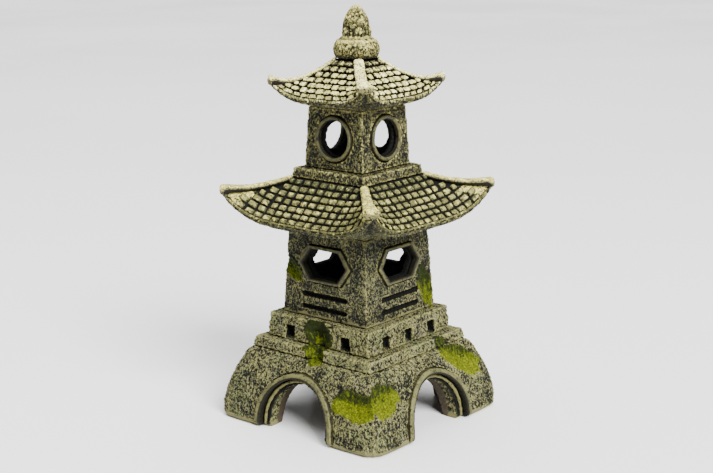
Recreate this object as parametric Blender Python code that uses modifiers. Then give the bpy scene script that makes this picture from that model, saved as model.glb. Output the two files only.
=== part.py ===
"""Cast stone-look pagoda ornament: two square storeys, two swept roofs, an arched base.

The object stands on z = 0 with its faces square to X and Y. The front face looks along -Y.
Each storey is hollow, so the arches and windows open into one dark shaft.
"""

import math

import bmesh
import bpy
from mathutils import Matrix, Vector

MM = 0.001
SIDES = ("front", "right", "back", "left")
CORNERS = ("front_right", "back_right", "back_left", "front_left")
QUARTER_TURN = math.pi / 2

# Seam left between neighbouring pieces, and half of it on each side of a mitre
SEAM = 0.3
HALF_SEAM = SEAM / 2

# Base block: half widths of the bulged outside and of the hollow, and its height
BASE_HEIGHT = 36.8
BASE_FOOT_HALF = 52.8
BASE_TOP_HALF = 39.6
BASE_HOLLOW_FOOT_HALF = 40.0
BASE_HOLLOW_TOP_HALF = 30.0
BASE_BULGE_HEIGHT_POWER = 1.7
BASE_BULGE_WIDTH_POWER = 0.714
BASE_CORNER_POWER = 60.0
BASE_LEVELS = 8
BASE_SIDE_PARTS = 8

# Arches through the base: the opening, the raised ring round it and the ledge behind the ring
ARCH_OPENING_HALF = 18.2
ARCH_OPENING_CROWN = 24.6
ARCH_RING_INNER_HALF = 22.3
ARCH_RING_INNER_CROWN = 28.0
ARCH_RING_OUTER_HALF = 25.5
ARCH_RING_OUTER_CROWN = 30.8
ARCH_SPRING = 5.0
ARCH_RING_PROUD = 1.4
ARCH_RING_SUNK = 2.6
ARCH_RING_FOOT = 0.8
ARCH_STEPS = 14

# Helper solids: how far they reach past the stock that they cut
OVERSHOOT = 5.0
TUNNEL_LENGTH = 130.0
RING_STOCK_INSIDE = 36.0
WINDOW_CUT_LENGTH = 30.0

# Steps on top of the base
LOWER_STEP_BOTTOM = 37.1
LOWER_STEP_TOP = 42.1
LOWER_STEP_HALF = (39.2, 38.1)
LOWER_STEP_INNER = 27.0
PARAPET_BOTTOM = 42.4
PARAPET_TOP = 54.7
PARAPET_HALF = (33.6, 32.6)
PARAPET_INNER = 23.0
DRAIN_WIDTH = 6.0
DRAIN_HEIGHT = 7.0
DRAIN_DEPTH = 4.0
DRAIN_Z = 46.2
DRAIN_PLACES = (-18.5, -0.5, 18.0)

# Lower storey: hexagonal windows over two blind slots
LOWER_WALL_BOTTOM = 55.0
LOWER_WALL_TOP = 98.2
LOWER_WALL_HALF = (27.85, 25.4)
LOWER_WALL_THICK = 6.0
HEX_Z = 82.5
HEX_OPENING = (13.8, 7.3)
HEX_FRAME_INNER = (14.0, 7.5)
HEX_FRAME_OUTER = (17.0, 9.3)
HEX_FLAT_SHARE = 0.62
FRAME_PROUD = 1.2
FRAME_SUNK = 2.2
SLOT_HEIGHTS = (66.4, 60.0)
SLOT_LENGTH = 30.0
SLOT_TALL = 2.2
SLOT_DEPTH = 2.4
SLOT_END_STEPS = 4

# Upper storey: round windows
COLLAR_BOTTOM = 124.7
COLLAR_TOP = 129.6
COLLAR_HALF = (23.6, 23.2)
COLLAR_INNER = 14.0
UPPER_WALL_BOTTOM = 129.9
UPPER_WALL_TOP = 159.9
UPPER_WALL_HALF = (19.2, 17.6)
UPPER_WALL_THICK = 5.0
ROUND_Z = 145.3
ROUND_OPENING_OUT = 9.6
ROUND_OPENING_IN = 10.8
ROUND_FRAME_INNER = 9.3
ROUND_FRAME_OUTER = 11.6
ROUND_STEPS = 28
BEAD_STEPS = 10
BEAD_POWER = 0.75

# Roofs: how the eave swings out and up to the tips, and how the slope and the ridge sag
EAVE_PLAN_POWER = 3.0
EAVE_LIFT_POWER = 4.5
SLOPE_SAG_POWER = 1.15
RIDGE_SAG_POWER = 1.6
CAP_ROUNDING = 1.0
CAP_LENGTH_PARTS = 10
CAP_WIDTH_PARTS = 4

# Tiles: cushions cast in rows down each slope; the slope is smooth near the upturned tips
TILE_ROWS = 7
TILE_RISE = 1.1
TILE_GAP_ACROSS = 1.4
TILE_GAP_DOWN = 1.1
TILE_CLEAR = 0.8
TILE_END_SHARE = 0.12
TILE_SEARCH_STEPS = 8


class Roof:
    """Sizes of one square roof whose corners sweep up to a tip."""

    def __init__(self, name, hole, top, eave, tip_half, soffit, ridge, cap, tiles):
        self.name = name
        self.hole_bottom, self.hole_top = hole
        self.top_half, self.top_z = top
        self.eave_half, self.eave_z, self.eave_thick = eave
        self.tip_half = tip_half
        self.soffit_half, self.soffit_z = soffit
        self.ridge_in, self.ridge_low, self.tip_rise = ridge
        self.cap_top_width, self.cap_tip_width, self.cap_proud, self.cap_thick = cap
        self.tile_pitch, self.tile_shift = tiles

    def ridge_z(self, reach):
        """Height of the ridge cap's crest at a distance from the axis along the diagonal."""
        low_reach, low_z = self.ridge_low
        in_reach, in_z = self.ridge_in
        if reach < low_reach:
            share = (low_reach - reach) / (low_reach - in_reach)
            return low_z + (in_z - low_z) * max(share, 0.0) ** RIDGE_SAG_POWER
        share = (reach - low_reach) / (self.tip_half * math.sqrt(2) - low_reach)
        return low_z + self.tip_rise * share ** 2

    def slope_point(self, across, down):
        """Point on the tiled slope: across runs -1..1 between ridges, down runs 0..1 to the eave."""
        lean = abs(across)
        ridge_half = self.top_half + (self.tip_half - self.top_half) * down
        middle_half = self.top_half + (self.eave_half - self.top_half) * down
        half = middle_half + (ridge_half - middle_half) * lean ** EAVE_PLAN_POWER
        middle_z = self.eave_z + (self.top_z - self.eave_z) * (1.0 - down) ** SLOPE_SAG_POWER
        ridge_z = min(self.ridge_z(ridge_half * math.sqrt(2)) - self.cap_proud, self.top_z)
        height = middle_z + (ridge_z - middle_z) * lean ** EAVE_LIFT_POWER
        return across * half, half, height

    def across_at(self, place, down):
        """Share across the slope at a distance from its middle, or that of the ridge near it."""
        ridge_half = self.top_half + (self.tip_half - self.top_half) * down
        if abs(place) > ridge_half - TILE_CLEAR:
            return math.copysign(1.0, place)
        across = 0.0
        for _ in range(TILE_SEARCH_STEPS):
            half = self.slope_point(across, down)[1]
            across = place / half
        return across

    def has_tile(self, middle, row):
        """Whether a tile fits into a row, short of the ridge cap and of the smooth tip."""
        down = row / TILE_ROWS
        half = self.top_half + (self.tip_half - self.top_half) * down
        reach = min(half - TILE_CLEAR, half * (1.0 - TILE_END_SHARE * down ** 2))
        return abs(middle) + (self.tile_pitch - TILE_GAP_ACROSS) / 2 < reach

    def tile_lines(self):
        """Both edges of each column of tiles with its middle, and the groove next to it."""
        columns = math.ceil(self.eave_half / self.tile_pitch)
        edge = (self.tile_pitch - TILE_GAP_ACROSS) / 2
        lines = []
        for column in range(-columns - 1, columns + 1):
            middle = column * self.tile_pitch
            lines.append((middle - edge, middle))
            lines.append((middle + edge, middle))
            lines.append((middle + self.tile_pitch / 2, None))
        return lines

    def tile_levels(self):
        """Both edges of each row of tiles, which stand proud, and the groove below it."""
        slope = math.hypot(self.eave_half - self.top_half, self.top_z - self.eave_z)
        edge = TILE_GAP_DOWN / 2 / slope
        levels = [(0.0, 0, False)]
        for row in range(TILE_ROWS):
            levels.append((row / TILE_ROWS + edge, row, True))
            levels.append(((row + 1) / TILE_ROWS - edge, row, True))
            levels.append(((row + 1) / TILE_ROWS, row, False))
        return levels

    def tile_point(self, line, level):
        """Point on the tiled slope, raised on the tiles and low in the grooves between them."""
        place, middle = line
        down, row, proud = level
        shift = self.tile_shift * (row % 2)
        across = self.across_at(place + shift, down)
        over, out, height = self.slope_point(across, down)
        if proud and middle is not None and self.has_tile(middle + shift, row):
            height += TILE_RISE * min(1.0, down * TILE_ROWS)
        return over, out, height


LOWER_ROOF = Roof(
    "lower_roof",
    hole=(19.4, 14.0),
    top=(24.2, 124.4),
    eave=(45.5, 106.0, 3.4),
    tip_half=49.6,
    soffit=(25.0, 98.5),
    ridge=((33.3, 125.9), (57.0, 121.2), 0.9),
    cap=(5.0, 9.5, 1.6, 2.6),
    tiles=(5.4, 0.0),
)
UPPER_ROOF = Roof(
    "upper_roof",
    hole=(12.1, 3.0),
    top=(8.8, 183.1),
    eave=(28.6, 166.0, 3.2),
    tip_half=31.6,
    soffit=(17.4, 160.2),
    ridge=((12.0, 183.6), (33.8, 174.4), 2.6),
    cap=(4.0, 8.5, 1.5, 2.4),
    tiles=(5.0, 2.5),
)

# Finial: a fat ring under a lotus bud
FINIAL_RING_BOTTOM = 183.9
FINIAL_RING_TOP = 193.0
FINIAL_RING_RADII = (10.2, 11.6, 8.0)
BUD_BOTTOM = 193.3
BUD_TOP = 210.0
BUD_PROFILE = ((6.6, 0.0), (7.4, 0.18), (7.1, 0.38), (6.0, 0.58), (4.4, 0.76), (2.5, 0.92), (1.2, 0.98))
FINIAL_STEPS = 20
FINIAL_RING_STEPS = 8
SMOOTH_ANGLE = math.radians(40)

# Broken hollows: side, place across it and height; half length, half width and depth of the
# bite; its turn in degrees from level; the pieces that it bites into
HOLLOW_AROUND = 18
HOLLOW_LEVELS = 9
HOLLOW_RAGGED = 0.10
HOLLOW_LIFT = 0.45
HOLLOWS = (
    ((0, 38.0, 22.8), (13.6, 6.4, 3.4), 0, ("foot_front_right",)),
    ((1, -39.0, 25.4), (10.6, 7.6, 3.4), 8, ("foot_front_right",)),
    ((1, 27.0, 30.6), (17.0, 6.6, 3.0), -41, ("foot_back_right", "lower_step")),
    ((0, 0.4, 48.6), (8.8, 7.4, 3.6), -50, ("parapet",)),
    ((0, 2.6, 40.4), (6.2, 4.8, 4.6), -30, ("lower_step", "parapet")),
    ((0, -22.6, 78.8), (8.0, 3.8, 2.2), -40, ("front_wall", "left_wall")),
    ((1, 20.8, 67.4), (10.2, 4.8, 2.3), 108, ("right_wall",)),
    ((2, 38.0, 22.8), (13.6, 6.4, 3.4), 0, ("foot_back_left",)),
    ((3, -39.0, 25.4), (10.6, 7.6, 3.4), 8, ("foot_back_left",)),
    ((3, 27.0, 30.6), (17.0, 6.6, 3.0), -41, ("foot_front_left", "lower_step")),
    ((2, 0.4, 48.6), (8.8, 7.4, 3.6), -50, ("parapet",)),
    ((2, 2.6, 40.4), (6.2, 4.8, 4.6), -30, ("lower_step", "parapet")),
    ((3, -20.8, 67.4), (10.2, 4.8, 2.3), 72, ("left_wall",)),
)


def clear_scene():
    """Remove every object, so that the script starts from nothing."""
    for item in list(bpy.data.objects):
        bpy.data.objects.remove(item, do_unlink=True)


def new_collection(name):
    """A collection linked to the scene."""
    group = bpy.data.collections.new(name)
    bpy.context.scene.collection.children.link(group)
    return group


def make_material(name, colour, roughness):
    """A plain painted-resin material."""
    material = bpy.data.materials.new(name)
    material.use_nodes = True
    shader = material.node_tree.nodes["Principled BSDF"]
    shader.inputs["Base Color"].default_value = (*colour, 1.0)
    shader.inputs["Roughness"].default_value = roughness
    shader.inputs["Metallic"].default_value = 0.0
    return material


def object_from_mesh(name, mesh_tool, group, material=None):
    """Turn a bmesh into a named object; its mesh is in metres."""
    bmesh.ops.scale(mesh_tool, vec=(MM, MM, MM), verts=mesh_tool.verts)
    bmesh.ops.recalc_face_normals(mesh_tool, faces=mesh_tool.faces)
    mesh = bpy.data.meshes.new(name)
    mesh_tool.to_mesh(mesh)
    mesh_tool.free()
    item = bpy.data.objects.new(name, mesh)
    group.objects.link(item)
    if material is not None:
        mesh.materials.append(material)
    return item


def as_cutter(item):
    """Show a helper solid as wire and keep it out of the model."""
    item.hide_render = True
    item.display_type = "WIRE"
    return item


def loop_solid(name, around, along, place, group, material=None):
    """A ring-shaped solid: a grid whose two directions both close on themselves."""
    ring = bmesh.new()
    bmesh.ops.create_grid(ring, x_segments=around, y_segments=along, size=0.5)
    for vert in ring.verts:
        vert.co = Vector(place(vert.co.x + 0.5, vert.co.y + 0.5))
    bmesh.ops.remove_doubles(ring, verts=ring.verts, dist=0.001)
    return object_from_mesh(name, ring, group, material)


def square_turn(share):
    """Which side of the square a share of the way round lies on, and where across it."""
    side = min(int(share * 4 + 1e-9), 3)
    across = (share * 4 - side) * 2 - 1
    return side, across


def place_on_side(side, across_mm, out_mm, height):
    """Point on one of the four sides: the front looks along -Y, the next ones turn left."""
    turn = Matrix.Rotation(side * QUARTER_TURN, 3, "Z")
    return turn @ Vector((across_mm, -out_mm, height))


def square_ring(name, profile, group, material):
    """A square ring with the given closed section of half widths and heights."""

    def place(share, way):
        side, across = square_turn(share)
        half, height = profile[round(way * len(profile)) % len(profile)]
        return place_on_side(side, across * half, half, height)

    return loop_solid(name, 4, len(profile), place, group, material)


def bulge_half(height, grow=0.0):
    """Half width of the bulged base at a height."""
    share = min(max(height / BASE_HEIGHT, 0.0), 1.0)
    swell = (1.0 - share ** BASE_BULGE_HEIGHT_POWER) ** BASE_BULGE_WIDTH_POWER
    return BASE_TOP_HALF + (BASE_FOOT_HALF - BASE_TOP_HALF) * swell + grow


def rounded_square(share):
    """Point of a unit square with softly rounded corners, and with its sides evenly divided."""
    side, across = square_turn(share)
    angle = across * math.pi / 4
    power = BASE_CORNER_POWER
    reach = (abs(math.cos(angle)) ** power + abs(math.sin(angle)) ** power) ** (-1.0 / power)
    return side, math.sin(angle) * reach, math.cos(angle) * reach


def base_profile(grow, bottom, top):
    """Outer half widths of the base, from its bottom to its top."""
    profile = []
    for level in range(BASE_LEVELS + 1):
        lift = math.sin(level / BASE_LEVELS * math.pi / 2)
        height = bottom + (top - bottom) * lift
        profile.append((bulge_half(height, grow), height))
    return profile


def base_shell(name, group, material=None):
    """The hollow base block before its arches are cut."""
    profile = base_profile(0.0, 0.0, BASE_HEIGHT)
    profile += [(BASE_HOLLOW_TOP_HALF, BASE_HEIGHT), (BASE_HOLLOW_FOOT_HALF, 0.0)]

    def place(share, way):
        side, across, out = rounded_square(share)
        half, height = profile[round(way * len(profile)) % len(profile)]
        return place_on_side(side, across * half, out * half, height)

    return loop_solid(name, 4 * BASE_SIDE_PARTS, len(profile), place, group, material)


def base_block(name, grow, bottom, top, group):
    """A solid block of the base's outer form, grown or shrunk all round."""
    profile = base_profile(grow, bottom, top)
    around = 4 * BASE_SIDE_PARTS
    block = bmesh.new()
    bmesh.ops.create_grid(block, x_segments=around, y_segments=len(profile) - 1, size=0.5)
    for vert in block.verts:
        side, across, out = rounded_square(vert.co.x + 0.5)
        half, height = profile[round((vert.co.y + 0.5) * (len(profile) - 1))]
        vert.co = place_on_side(side, across * half, out * half, height)
    bmesh.ops.remove_doubles(block, verts=block.verts, dist=0.001)
    rims = [edge for edge in block.edges if edge.is_boundary]
    bmesh.ops.holes_fill(block, edges=rims, sides=0)
    return as_cutter(object_from_mesh(name, block, group))


def outline_solid(name, loops, thickness, group, material=None):
    """An extruded flat outline in millimetres, made a mesh and standing in the XZ plane."""
    curve = bpy.data.curves.new(name, "CURVE")
    curve.dimensions = "2D"
    curve.fill_mode = "BOTH"
    curve.extrude = thickness / 2 * MM
    for points in loops:
        spline = curve.splines.new("POLY")
        spline.points.add(len(points) - 1)
        for point, (across, height) in zip(spline.points, points):
            point.co = (across * MM, height * MM, 0.0, 1.0)
        spline.use_cyclic_u = True
    flat = bpy.data.objects.new(name + "_outline", curve)
    group.objects.link(flat)
    bpy.context.view_layer.update()
    evaluated = flat.evaluated_get(bpy.context.evaluated_depsgraph_get())
    mesh = bpy.data.meshes.new_from_object(evaluated)
    bpy.data.objects.remove(flat, do_unlink=True)
    solid = bmesh.new()
    solid.from_mesh(mesh)
    bmesh.ops.remove_doubles(solid, verts=solid.verts, dist=1e-6)
    bmesh.ops.rotate(solid, verts=solid.verts, matrix=Matrix.Rotation(QUARTER_TURN, 3, "X"))
    bmesh.ops.recalc_face_normals(solid, faces=solid.faces)
    solid.to_mesh(mesh)
    solid.free()
    mesh.name = name
    if material is not None:
        mesh.materials.clear()
        mesh.materials.append(material)
    item = bpy.data.objects.new(name, mesh)
    group.objects.link(item)
    return item


def boolean(item, operation, cutter):
    """Cut, keep or join with another solid, or with all the solids of a collection at once."""
    change = item.modifiers.new(operation.lower(), "BOOLEAN")
    change.operation = operation
    change.solver = "EXACT"
    if isinstance(cutter, bpy.types.Collection):
        change.operand_type = "COLLECTION"
        change.collection = cutter
    else:
        change.object = cutter
    return change


def settle(item):
    """Replace an object's mesh by what its modifiers make of it."""
    bpy.context.view_layer.update()
    evaluated = item.evaluated_get(bpy.context.evaluated_depsgraph_get())
    mesh = bpy.data.meshes.new_from_object(evaluated)
    item.modifiers.clear()
    item.data = mesh
    return item


def arch_outline(half, crown, foot):
    """A round-headed arch with short straight legs."""
    points = [(-half, foot), (half, foot)]
    for step in range(ARCH_STEPS + 1):
        angle = math.pi * step / ARCH_STEPS
        points.append((half * math.cos(angle), ARCH_SPRING + (crown - ARCH_SPRING) * math.sin(angle)))
    return points


def hexagon(half_width, half_height, middle):
    """A flat-topped hexagon wider than it is tall."""
    flat = half_width * HEX_FLAT_SHARE
    points = [(half_width, 0), (flat, half_height), (-flat, half_height)]
    points += [(-half_width, 0), (-flat, -half_height), (flat, -half_height)]
    return [(across, middle + height) for across, height in points]


def circle(radius, middle):
    """A regular polygon close to a circle."""
    points = []
    for step in range(ROUND_STEPS):
        angle = 2 * math.pi * step / ROUND_STEPS
        points.append((radius * math.cos(angle), middle + radius * math.sin(angle)))
    return points


def slot_outline(length, tall, middle):
    """A slot with round ends."""
    points = []
    for end in (1, -1):
        for step in range(SLOT_END_STEPS + 1):
            angle = end * math.pi / 2 * (2 * step / SLOT_END_STEPS - 1)
            across = end * ((length - tall) / 2 + tall / 2 * math.cos(angle))
            points.append((across, middle + tall / 2 * math.sin(angle)))
    return points


def turn_to_side(item, side):
    """Turn a piece made for the front so that it stands on another side."""
    item.rotation_euler.z = side * QUARTER_TURN
    return item


def plain_box(name, low, high, group, material=None):
    """A box between two corners."""
    box = bmesh.new()
    bmesh.ops.create_cube(box, size=1.0)
    size = [top - bottom for bottom, top in zip(low, high)]
    middle = [(top + bottom) / 2 for bottom, top in zip(low, high)]
    bmesh.ops.scale(box, vec=size, verts=box.verts)
    bmesh.ops.translate(box, vec=middle, verts=box.verts)
    return object_from_mesh(name, box, group, material)


def make_arch_ring(parts, cutters, material):
    """The raised moulding of one arch, following the bulge of the base."""
    outside = BASE_FOOT_HALF + OVERSHOOT
    thickness = outside - RING_STOCK_INSIDE
    outer_loop = arch_outline(ARCH_RING_OUTER_HALF, ARCH_RING_OUTER_CROWN, -OVERSHOOT / 2)
    inner_loop = arch_outline(ARCH_RING_INNER_HALF, ARCH_RING_INNER_CROWN, -OVERSHOOT)
    outer = outline_solid("ring_outer", [outer_loop], thickness, cutters)
    inner = outline_solid("ring_inner", [inner_loop], thickness + OVERSHOOT, cutters)
    outer.location.y = inner.location.y = -(outside + RING_STOCK_INSIDE) / 2 * MM
    proud = base_block("ring_skin", ARCH_RING_PROUD, ARCH_RING_FOOT, BASE_HEIGHT, cutters)
    sunk = base_block("ring_back", -ARCH_RING_SUNK, -OVERSHOOT, BASE_HEIGHT + OVERSHOOT, cutters)
    as_cutter(inner)
    boolean(outer, "DIFFERENCE", inner)
    boolean(outer, "INTERSECT", proud)
    boolean(outer, "DIFFERENCE", sunk)
    ring_mesh = settle(outer).data
    for vert in ring_mesh.vertices:
        vert.co.y += outer.location.y
    bpy.data.objects.remove(outer, do_unlink=True)
    ring_mesh.materials.clear()
    ring_mesh.materials.append(material)
    for side, side_name in enumerate(SIDES):
        ring = bpy.data.objects.new(f"{side_name}_arch_ring", ring_mesh)
        parts.objects.link(ring)
        turn_to_side(ring, side)


def arch_cutters(cutters):
    """Tunnels through both pairs of arches, and the ledge that each ring sits on."""
    tunnels = []
    ledges = []
    tunnel_outline = arch_outline(ARCH_OPENING_HALF, ARCH_OPENING_CROWN, -OVERSHOOT)
    ledge_outline = arch_outline(ARCH_RING_OUTER_HALF + SEAM, ARCH_RING_OUTER_CROWN + SEAM, -OVERSHOOT)
    back_sunk = ARCH_RING_SUNK + SEAM
    back = base_block("ledge_back", -back_sunk, -2 * OVERSHOOT, BASE_HEIGHT + OVERSHOOT, cutters)
    outside = BASE_FOOT_HALF + 2 * OVERSHOOT
    ledge_middle = (outside + RING_STOCK_INSIDE) / 2
    for turn in range(2):
        tunnel = as_cutter(outline_solid(f"tunnel_{turn}", [tunnel_outline], TUNNEL_LENGTH, cutters))
        turn_to_side(tunnel, turn)
        tunnels.append(tunnel)
    for side, side_name in enumerate(SIDES):
        ledge = outline_solid(f"{side_name}_ledge", [ledge_outline], outside - RING_STOCK_INSIDE, cutters)
        ledge.data.transform(Matrix.Translation((0.0, -ledge_middle * MM, 0.0)))
        boolean(ledge, "DIFFERENCE", back)
        as_cutter(turn_to_side(settle(ledge), side))
        ledges.append(ledge)
    return tunnels, ledges


def make_feet(parts, cutters, material):
    """Four corner feet that meet over the crowns of the arches."""
    tunnels, ledges = arch_cutters(cutters)
    shell = base_shell("base_shell", cutters)
    as_cutter(shell)
    reach = BASE_FOOT_HALF + OVERSHOOT
    feet = {}
    for corner, corner_name in enumerate(CORNERS):
        low = (HALF_SEAM, -reach, -OVERSHOOT)
        high = (reach, -HALF_SEAM, BASE_HEIGHT + OVERSHOOT)
        foot = plain_box(f"foot_{corner_name}", low, high, parts, material)
        turn_to_side(foot, corner)
        boolean(foot, "INTERSECT", shell)
        for tunnel in tunnels:
            boolean(foot, "DIFFERENCE", tunnel)
        boolean(foot, "DIFFERENCE", ledges[corner])
        boolean(foot, "DIFFERENCE", ledges[(corner + 1) % 4])
        feet[foot.name] = foot
    return feet


def make_course(name, bottom, top, halves, inner, parts, material):
    """One straight course of the steps or the collar."""
    profile = [(halves[0], bottom), (halves[1], top), (inner, top), (inner, bottom)]
    return square_ring(name, profile, parts, material)


def cut_drains(parapet, cutters):
    """Three square blind holes on each side of the parapet."""
    for side in range(4):
        for place in DRAIN_PLACES:
            low = (place - DRAIN_WIDTH / 2, -PARAPET_HALF[0] - OVERSHOOT, DRAIN_Z - DRAIN_HEIGHT / 2)
            high = (place + DRAIN_WIDTH / 2, -PARAPET_HALF[1] + DRAIN_DEPTH, DRAIN_Z + DRAIN_HEIGHT / 2)
            drain = plain_box("drain", low, high, cutters)
            boolean(parapet, "DIFFERENCE", as_cutter(turn_to_side(drain, side)))


def wall_lean(halves, bottom, top):
    """Lean of a tapering wall from upright, in radians."""
    return math.atan2(halves[0] - halves[1], top - bottom)


def wall_panel(name, halves, thick, bottom, top, side, parts, material):
    """A tapering wall with mitred ends, for one side of a storey."""
    panel = bmesh.new()
    bmesh.ops.create_cube(panel, size=1.0)
    mitre = HALF_SEAM * math.sqrt(2)
    for vert in panel.verts:
        outer = halves[0] if vert.co.z < 0 else halves[1]
        out = outer if vert.co.y < 0 else outer - thick
        across = math.copysign(out - mitre, vert.co.x)
        vert.co = Vector((across, -out, bottom if vert.co.z < 0 else top))
    return turn_to_side(object_from_mesh(name, panel, parts, material), side)


def on_wall(item, halves, bottom, top, middle, offset, side):
    """Set a front-facing outline on the leaning face of a wall at one height, then turn it."""
    lean = wall_lean(halves, bottom, top)
    share = (middle - bottom) / (top - bottom)
    face = halves[0] + (halves[1] - halves[0]) * share
    tilt = Matrix.Rotation(-lean, 4, "X")
    seat = Matrix.Translation((0.0, -(face + offset) * MM, middle * MM))
    item.data.transform(seat @ tilt)
    return turn_to_side(item, side)


def make_lower_storey(parts, cutters, wall_material, frame_material):
    """Four walls, each with a hexagonal window, its frame and two blind slots."""
    halves, bottom, top = LOWER_WALL_HALF, LOWER_WALL_BOTTOM, LOWER_WALL_TOP
    walls = {}
    rebate_size = [size + SEAM for size in HEX_FRAME_OUTER]
    frame_thick = FRAME_PROUD + FRAME_SUNK
    frame_loops = [hexagon(*HEX_FRAME_OUTER, 0.0), hexagon(*HEX_FRAME_INNER, 0.0)]
    for side, side_name in enumerate(SIDES):
        name = f"{side_name}_wall"
        wall = wall_panel(name, halves, LOWER_WALL_THICK, bottom, top, side, parts, wall_material)
        opening = outline_solid("hex_opening", [hexagon(*HEX_OPENING, 0.0)], WINDOW_CUT_LENGTH, cutters)
        rebate = outline_solid("hex_rebate", [hexagon(*rebate_size, 0.0)], 2 * (FRAME_SUNK + SEAM), cutters)
        for cutter in (opening, rebate):
            boolean(wall, "DIFFERENCE", as_cutter(on_wall(cutter, halves, bottom, top, HEX_Z, 0.0, side)))
        for slot_z in SLOT_HEIGHTS:
            slot_loop = slot_outline(SLOT_LENGTH, SLOT_TALL, 0.0)
            slot = outline_solid("slot", [slot_loop], 2 * SLOT_DEPTH, cutters)
            boolean(wall, "DIFFERENCE", as_cutter(on_wall(slot, halves, bottom, top, slot_z, 0.0, side)))
        frame = outline_solid(f"{side_name}_hex_frame", frame_loops, frame_thick, parts, frame_material)
        on_wall(frame, halves, bottom, top, HEX_Z, (FRAME_PROUD - FRAME_SUNK) / 2, side)
        walls[wall.name] = wall
    return walls


def flared_opening(cutters):
    """The round window's opening, which widens towards the inside of the wall."""
    overshoot = OVERSHOOT / UPPER_WALL_THICK
    flare = ROUND_OPENING_IN - ROUND_OPENING_OUT
    cone = bmesh.new()
    bmesh.ops.create_cone(
        cone,
        cap_ends=True,
        segments=ROUND_STEPS,
        radius1=ROUND_OPENING_IN + flare * overshoot,
        radius2=ROUND_OPENING_OUT - flare * overshoot,
        depth=UPPER_WALL_THICK + 2 * OVERSHOOT,
    )
    bmesh.ops.rotate(cone, verts=cone.verts, matrix=Matrix.Rotation(QUARTER_TURN, 3, "X"))
    bmesh.ops.translate(cone, vec=(0.0, UPPER_WALL_THICK / 2, 0.0), verts=cone.verts)
    return object_from_mesh("round_opening", cone, cutters)


def round_bead(name, parts, material):
    """The round window's moulding: a full, softly squared bead."""
    middle = (ROUND_FRAME_INNER + ROUND_FRAME_OUTER) / 2
    half_wide = (ROUND_FRAME_OUTER - ROUND_FRAME_INNER) / 2
    half_deep = (FRAME_PROUD + FRAME_SUNK) / 2

    def place(share, way):
        turn, section = 2 * math.pi * share, 2 * math.pi * way
        wide, deep = math.cos(section), math.sin(section)
        radius = middle + half_wide * math.copysign(abs(wide) ** BEAD_POWER, wide)
        depth = half_deep * math.copysign(abs(deep) ** BEAD_POWER, deep)
        return radius * math.cos(turn), depth, radius * math.sin(turn)

    return loop_solid(name, ROUND_STEPS, BEAD_STEPS, place, parts, material)


def make_upper_storey(parts, cutters, wall_material, frame_material):
    """Four walls, each with a round window and its ring."""
    halves, bottom, top = UPPER_WALL_HALF, UPPER_WALL_BOTTOM, UPPER_WALL_TOP
    for side, side_name in enumerate(SIDES):
        name = f"{side_name}_upper_wall"
        wall = wall_panel(name, halves, UPPER_WALL_THICK, bottom, top, side, parts, wall_material)
        opening = flared_opening(cutters)
        rebate_loop = circle(ROUND_FRAME_OUTER + SEAM, 0.0)
        rebate = outline_solid("round_rebate", [rebate_loop], 2 * (FRAME_SUNK + SEAM), cutters)
        for cutter in (opening, rebate):
            boolean(wall, "DIFFERENCE", as_cutter(on_wall(cutter, halves, bottom, top, ROUND_Z, 0.0, side)))
        frame = round_bead(f"{side_name}_round_frame", parts, frame_material)
        on_wall(frame, halves, bottom, top, ROUND_Z, (FRAME_PROUD - FRAME_SUNK) / 2, side)


def make_roof(roof, parts, material):
    """The tiled slopes, the eave edge and the soffit as one ring-shaped solid."""
    lines = roof.tile_lines()
    levels = roof.tile_levels()
    intervals = len(lines) - 1
    loop_parts = len(levels) + 4

    def place(share, way):
        side, turned = square_turn(share)
        line = lines[round((turned + 1) / 2 * intervals)]
        level = round(way * loop_parts) % loop_parts
        if level < len(levels):
            return place_on_side(side, *roof.tile_point(line, levels[level]))
        below = level - len(levels)
        across = roof.across_at(line[0], 1.0)
        if below == 0:
            over, out, height = roof.slope_point(across, 1.0)
            return place_on_side(side, over, out, height - roof.eave_thick)
        if below == 3:
            half = roof.hole_top
            return place_on_side(side, roof.across_at(line[0], 0.0) * half, half, roof.top_z)
        half = roof.soffit_half if below == 1 else roof.hole_bottom
        return place_on_side(side, across * half, half, roof.soffit_z)

    return loop_solid(roof.name, 4 * intervals, loop_parts, place, parts, material)


def cap_point(roof, along, across, inset=0.0):
    """Point on the crest of a ridge cap, in the plane of the front right corner."""
    start = roof.ridge_in[0]
    reach = start + (roof.tip_half * math.sqrt(2) - start) * along
    width = roof.cap_top_width + (roof.cap_tip_width - roof.cap_top_width) * along ** 2
    side_step = across * (width / 2 + inset)
    height = roof.ridge_z(reach) - CAP_ROUNDING * abs(across) ** 2
    return reach, side_step, height


def ridge_strip(name, roof, deeper, wider, group, material=None):
    """A strip along one ridge, from above the crest line down to a given depth."""
    strip = bmesh.new()
    bmesh.ops.create_grid(strip, x_segments=CAP_LENGTH_PARTS, y_segments=CAP_WIDTH_PARTS, size=0.5)
    for vert in strip.verts:
        along, across = vert.co.x + 0.5, vert.co.y * 2
        reach, side_step, height = cap_point(roof, along, across, wider)
        vert.co = Vector((reach, side_step, height))
    top_faces = list(strip.faces)
    extruded = bmesh.ops.extrude_face_region(strip, geom=top_faces, use_keep_orig=True)
    lowered = [item for item in extruded["geom"] if isinstance(item, bmesh.types.BMVert)]
    bmesh.ops.translate(strip, vec=(0, 0, -deeper), verts=lowered)
    return object_from_mesh(name, strip, group, material)


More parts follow.
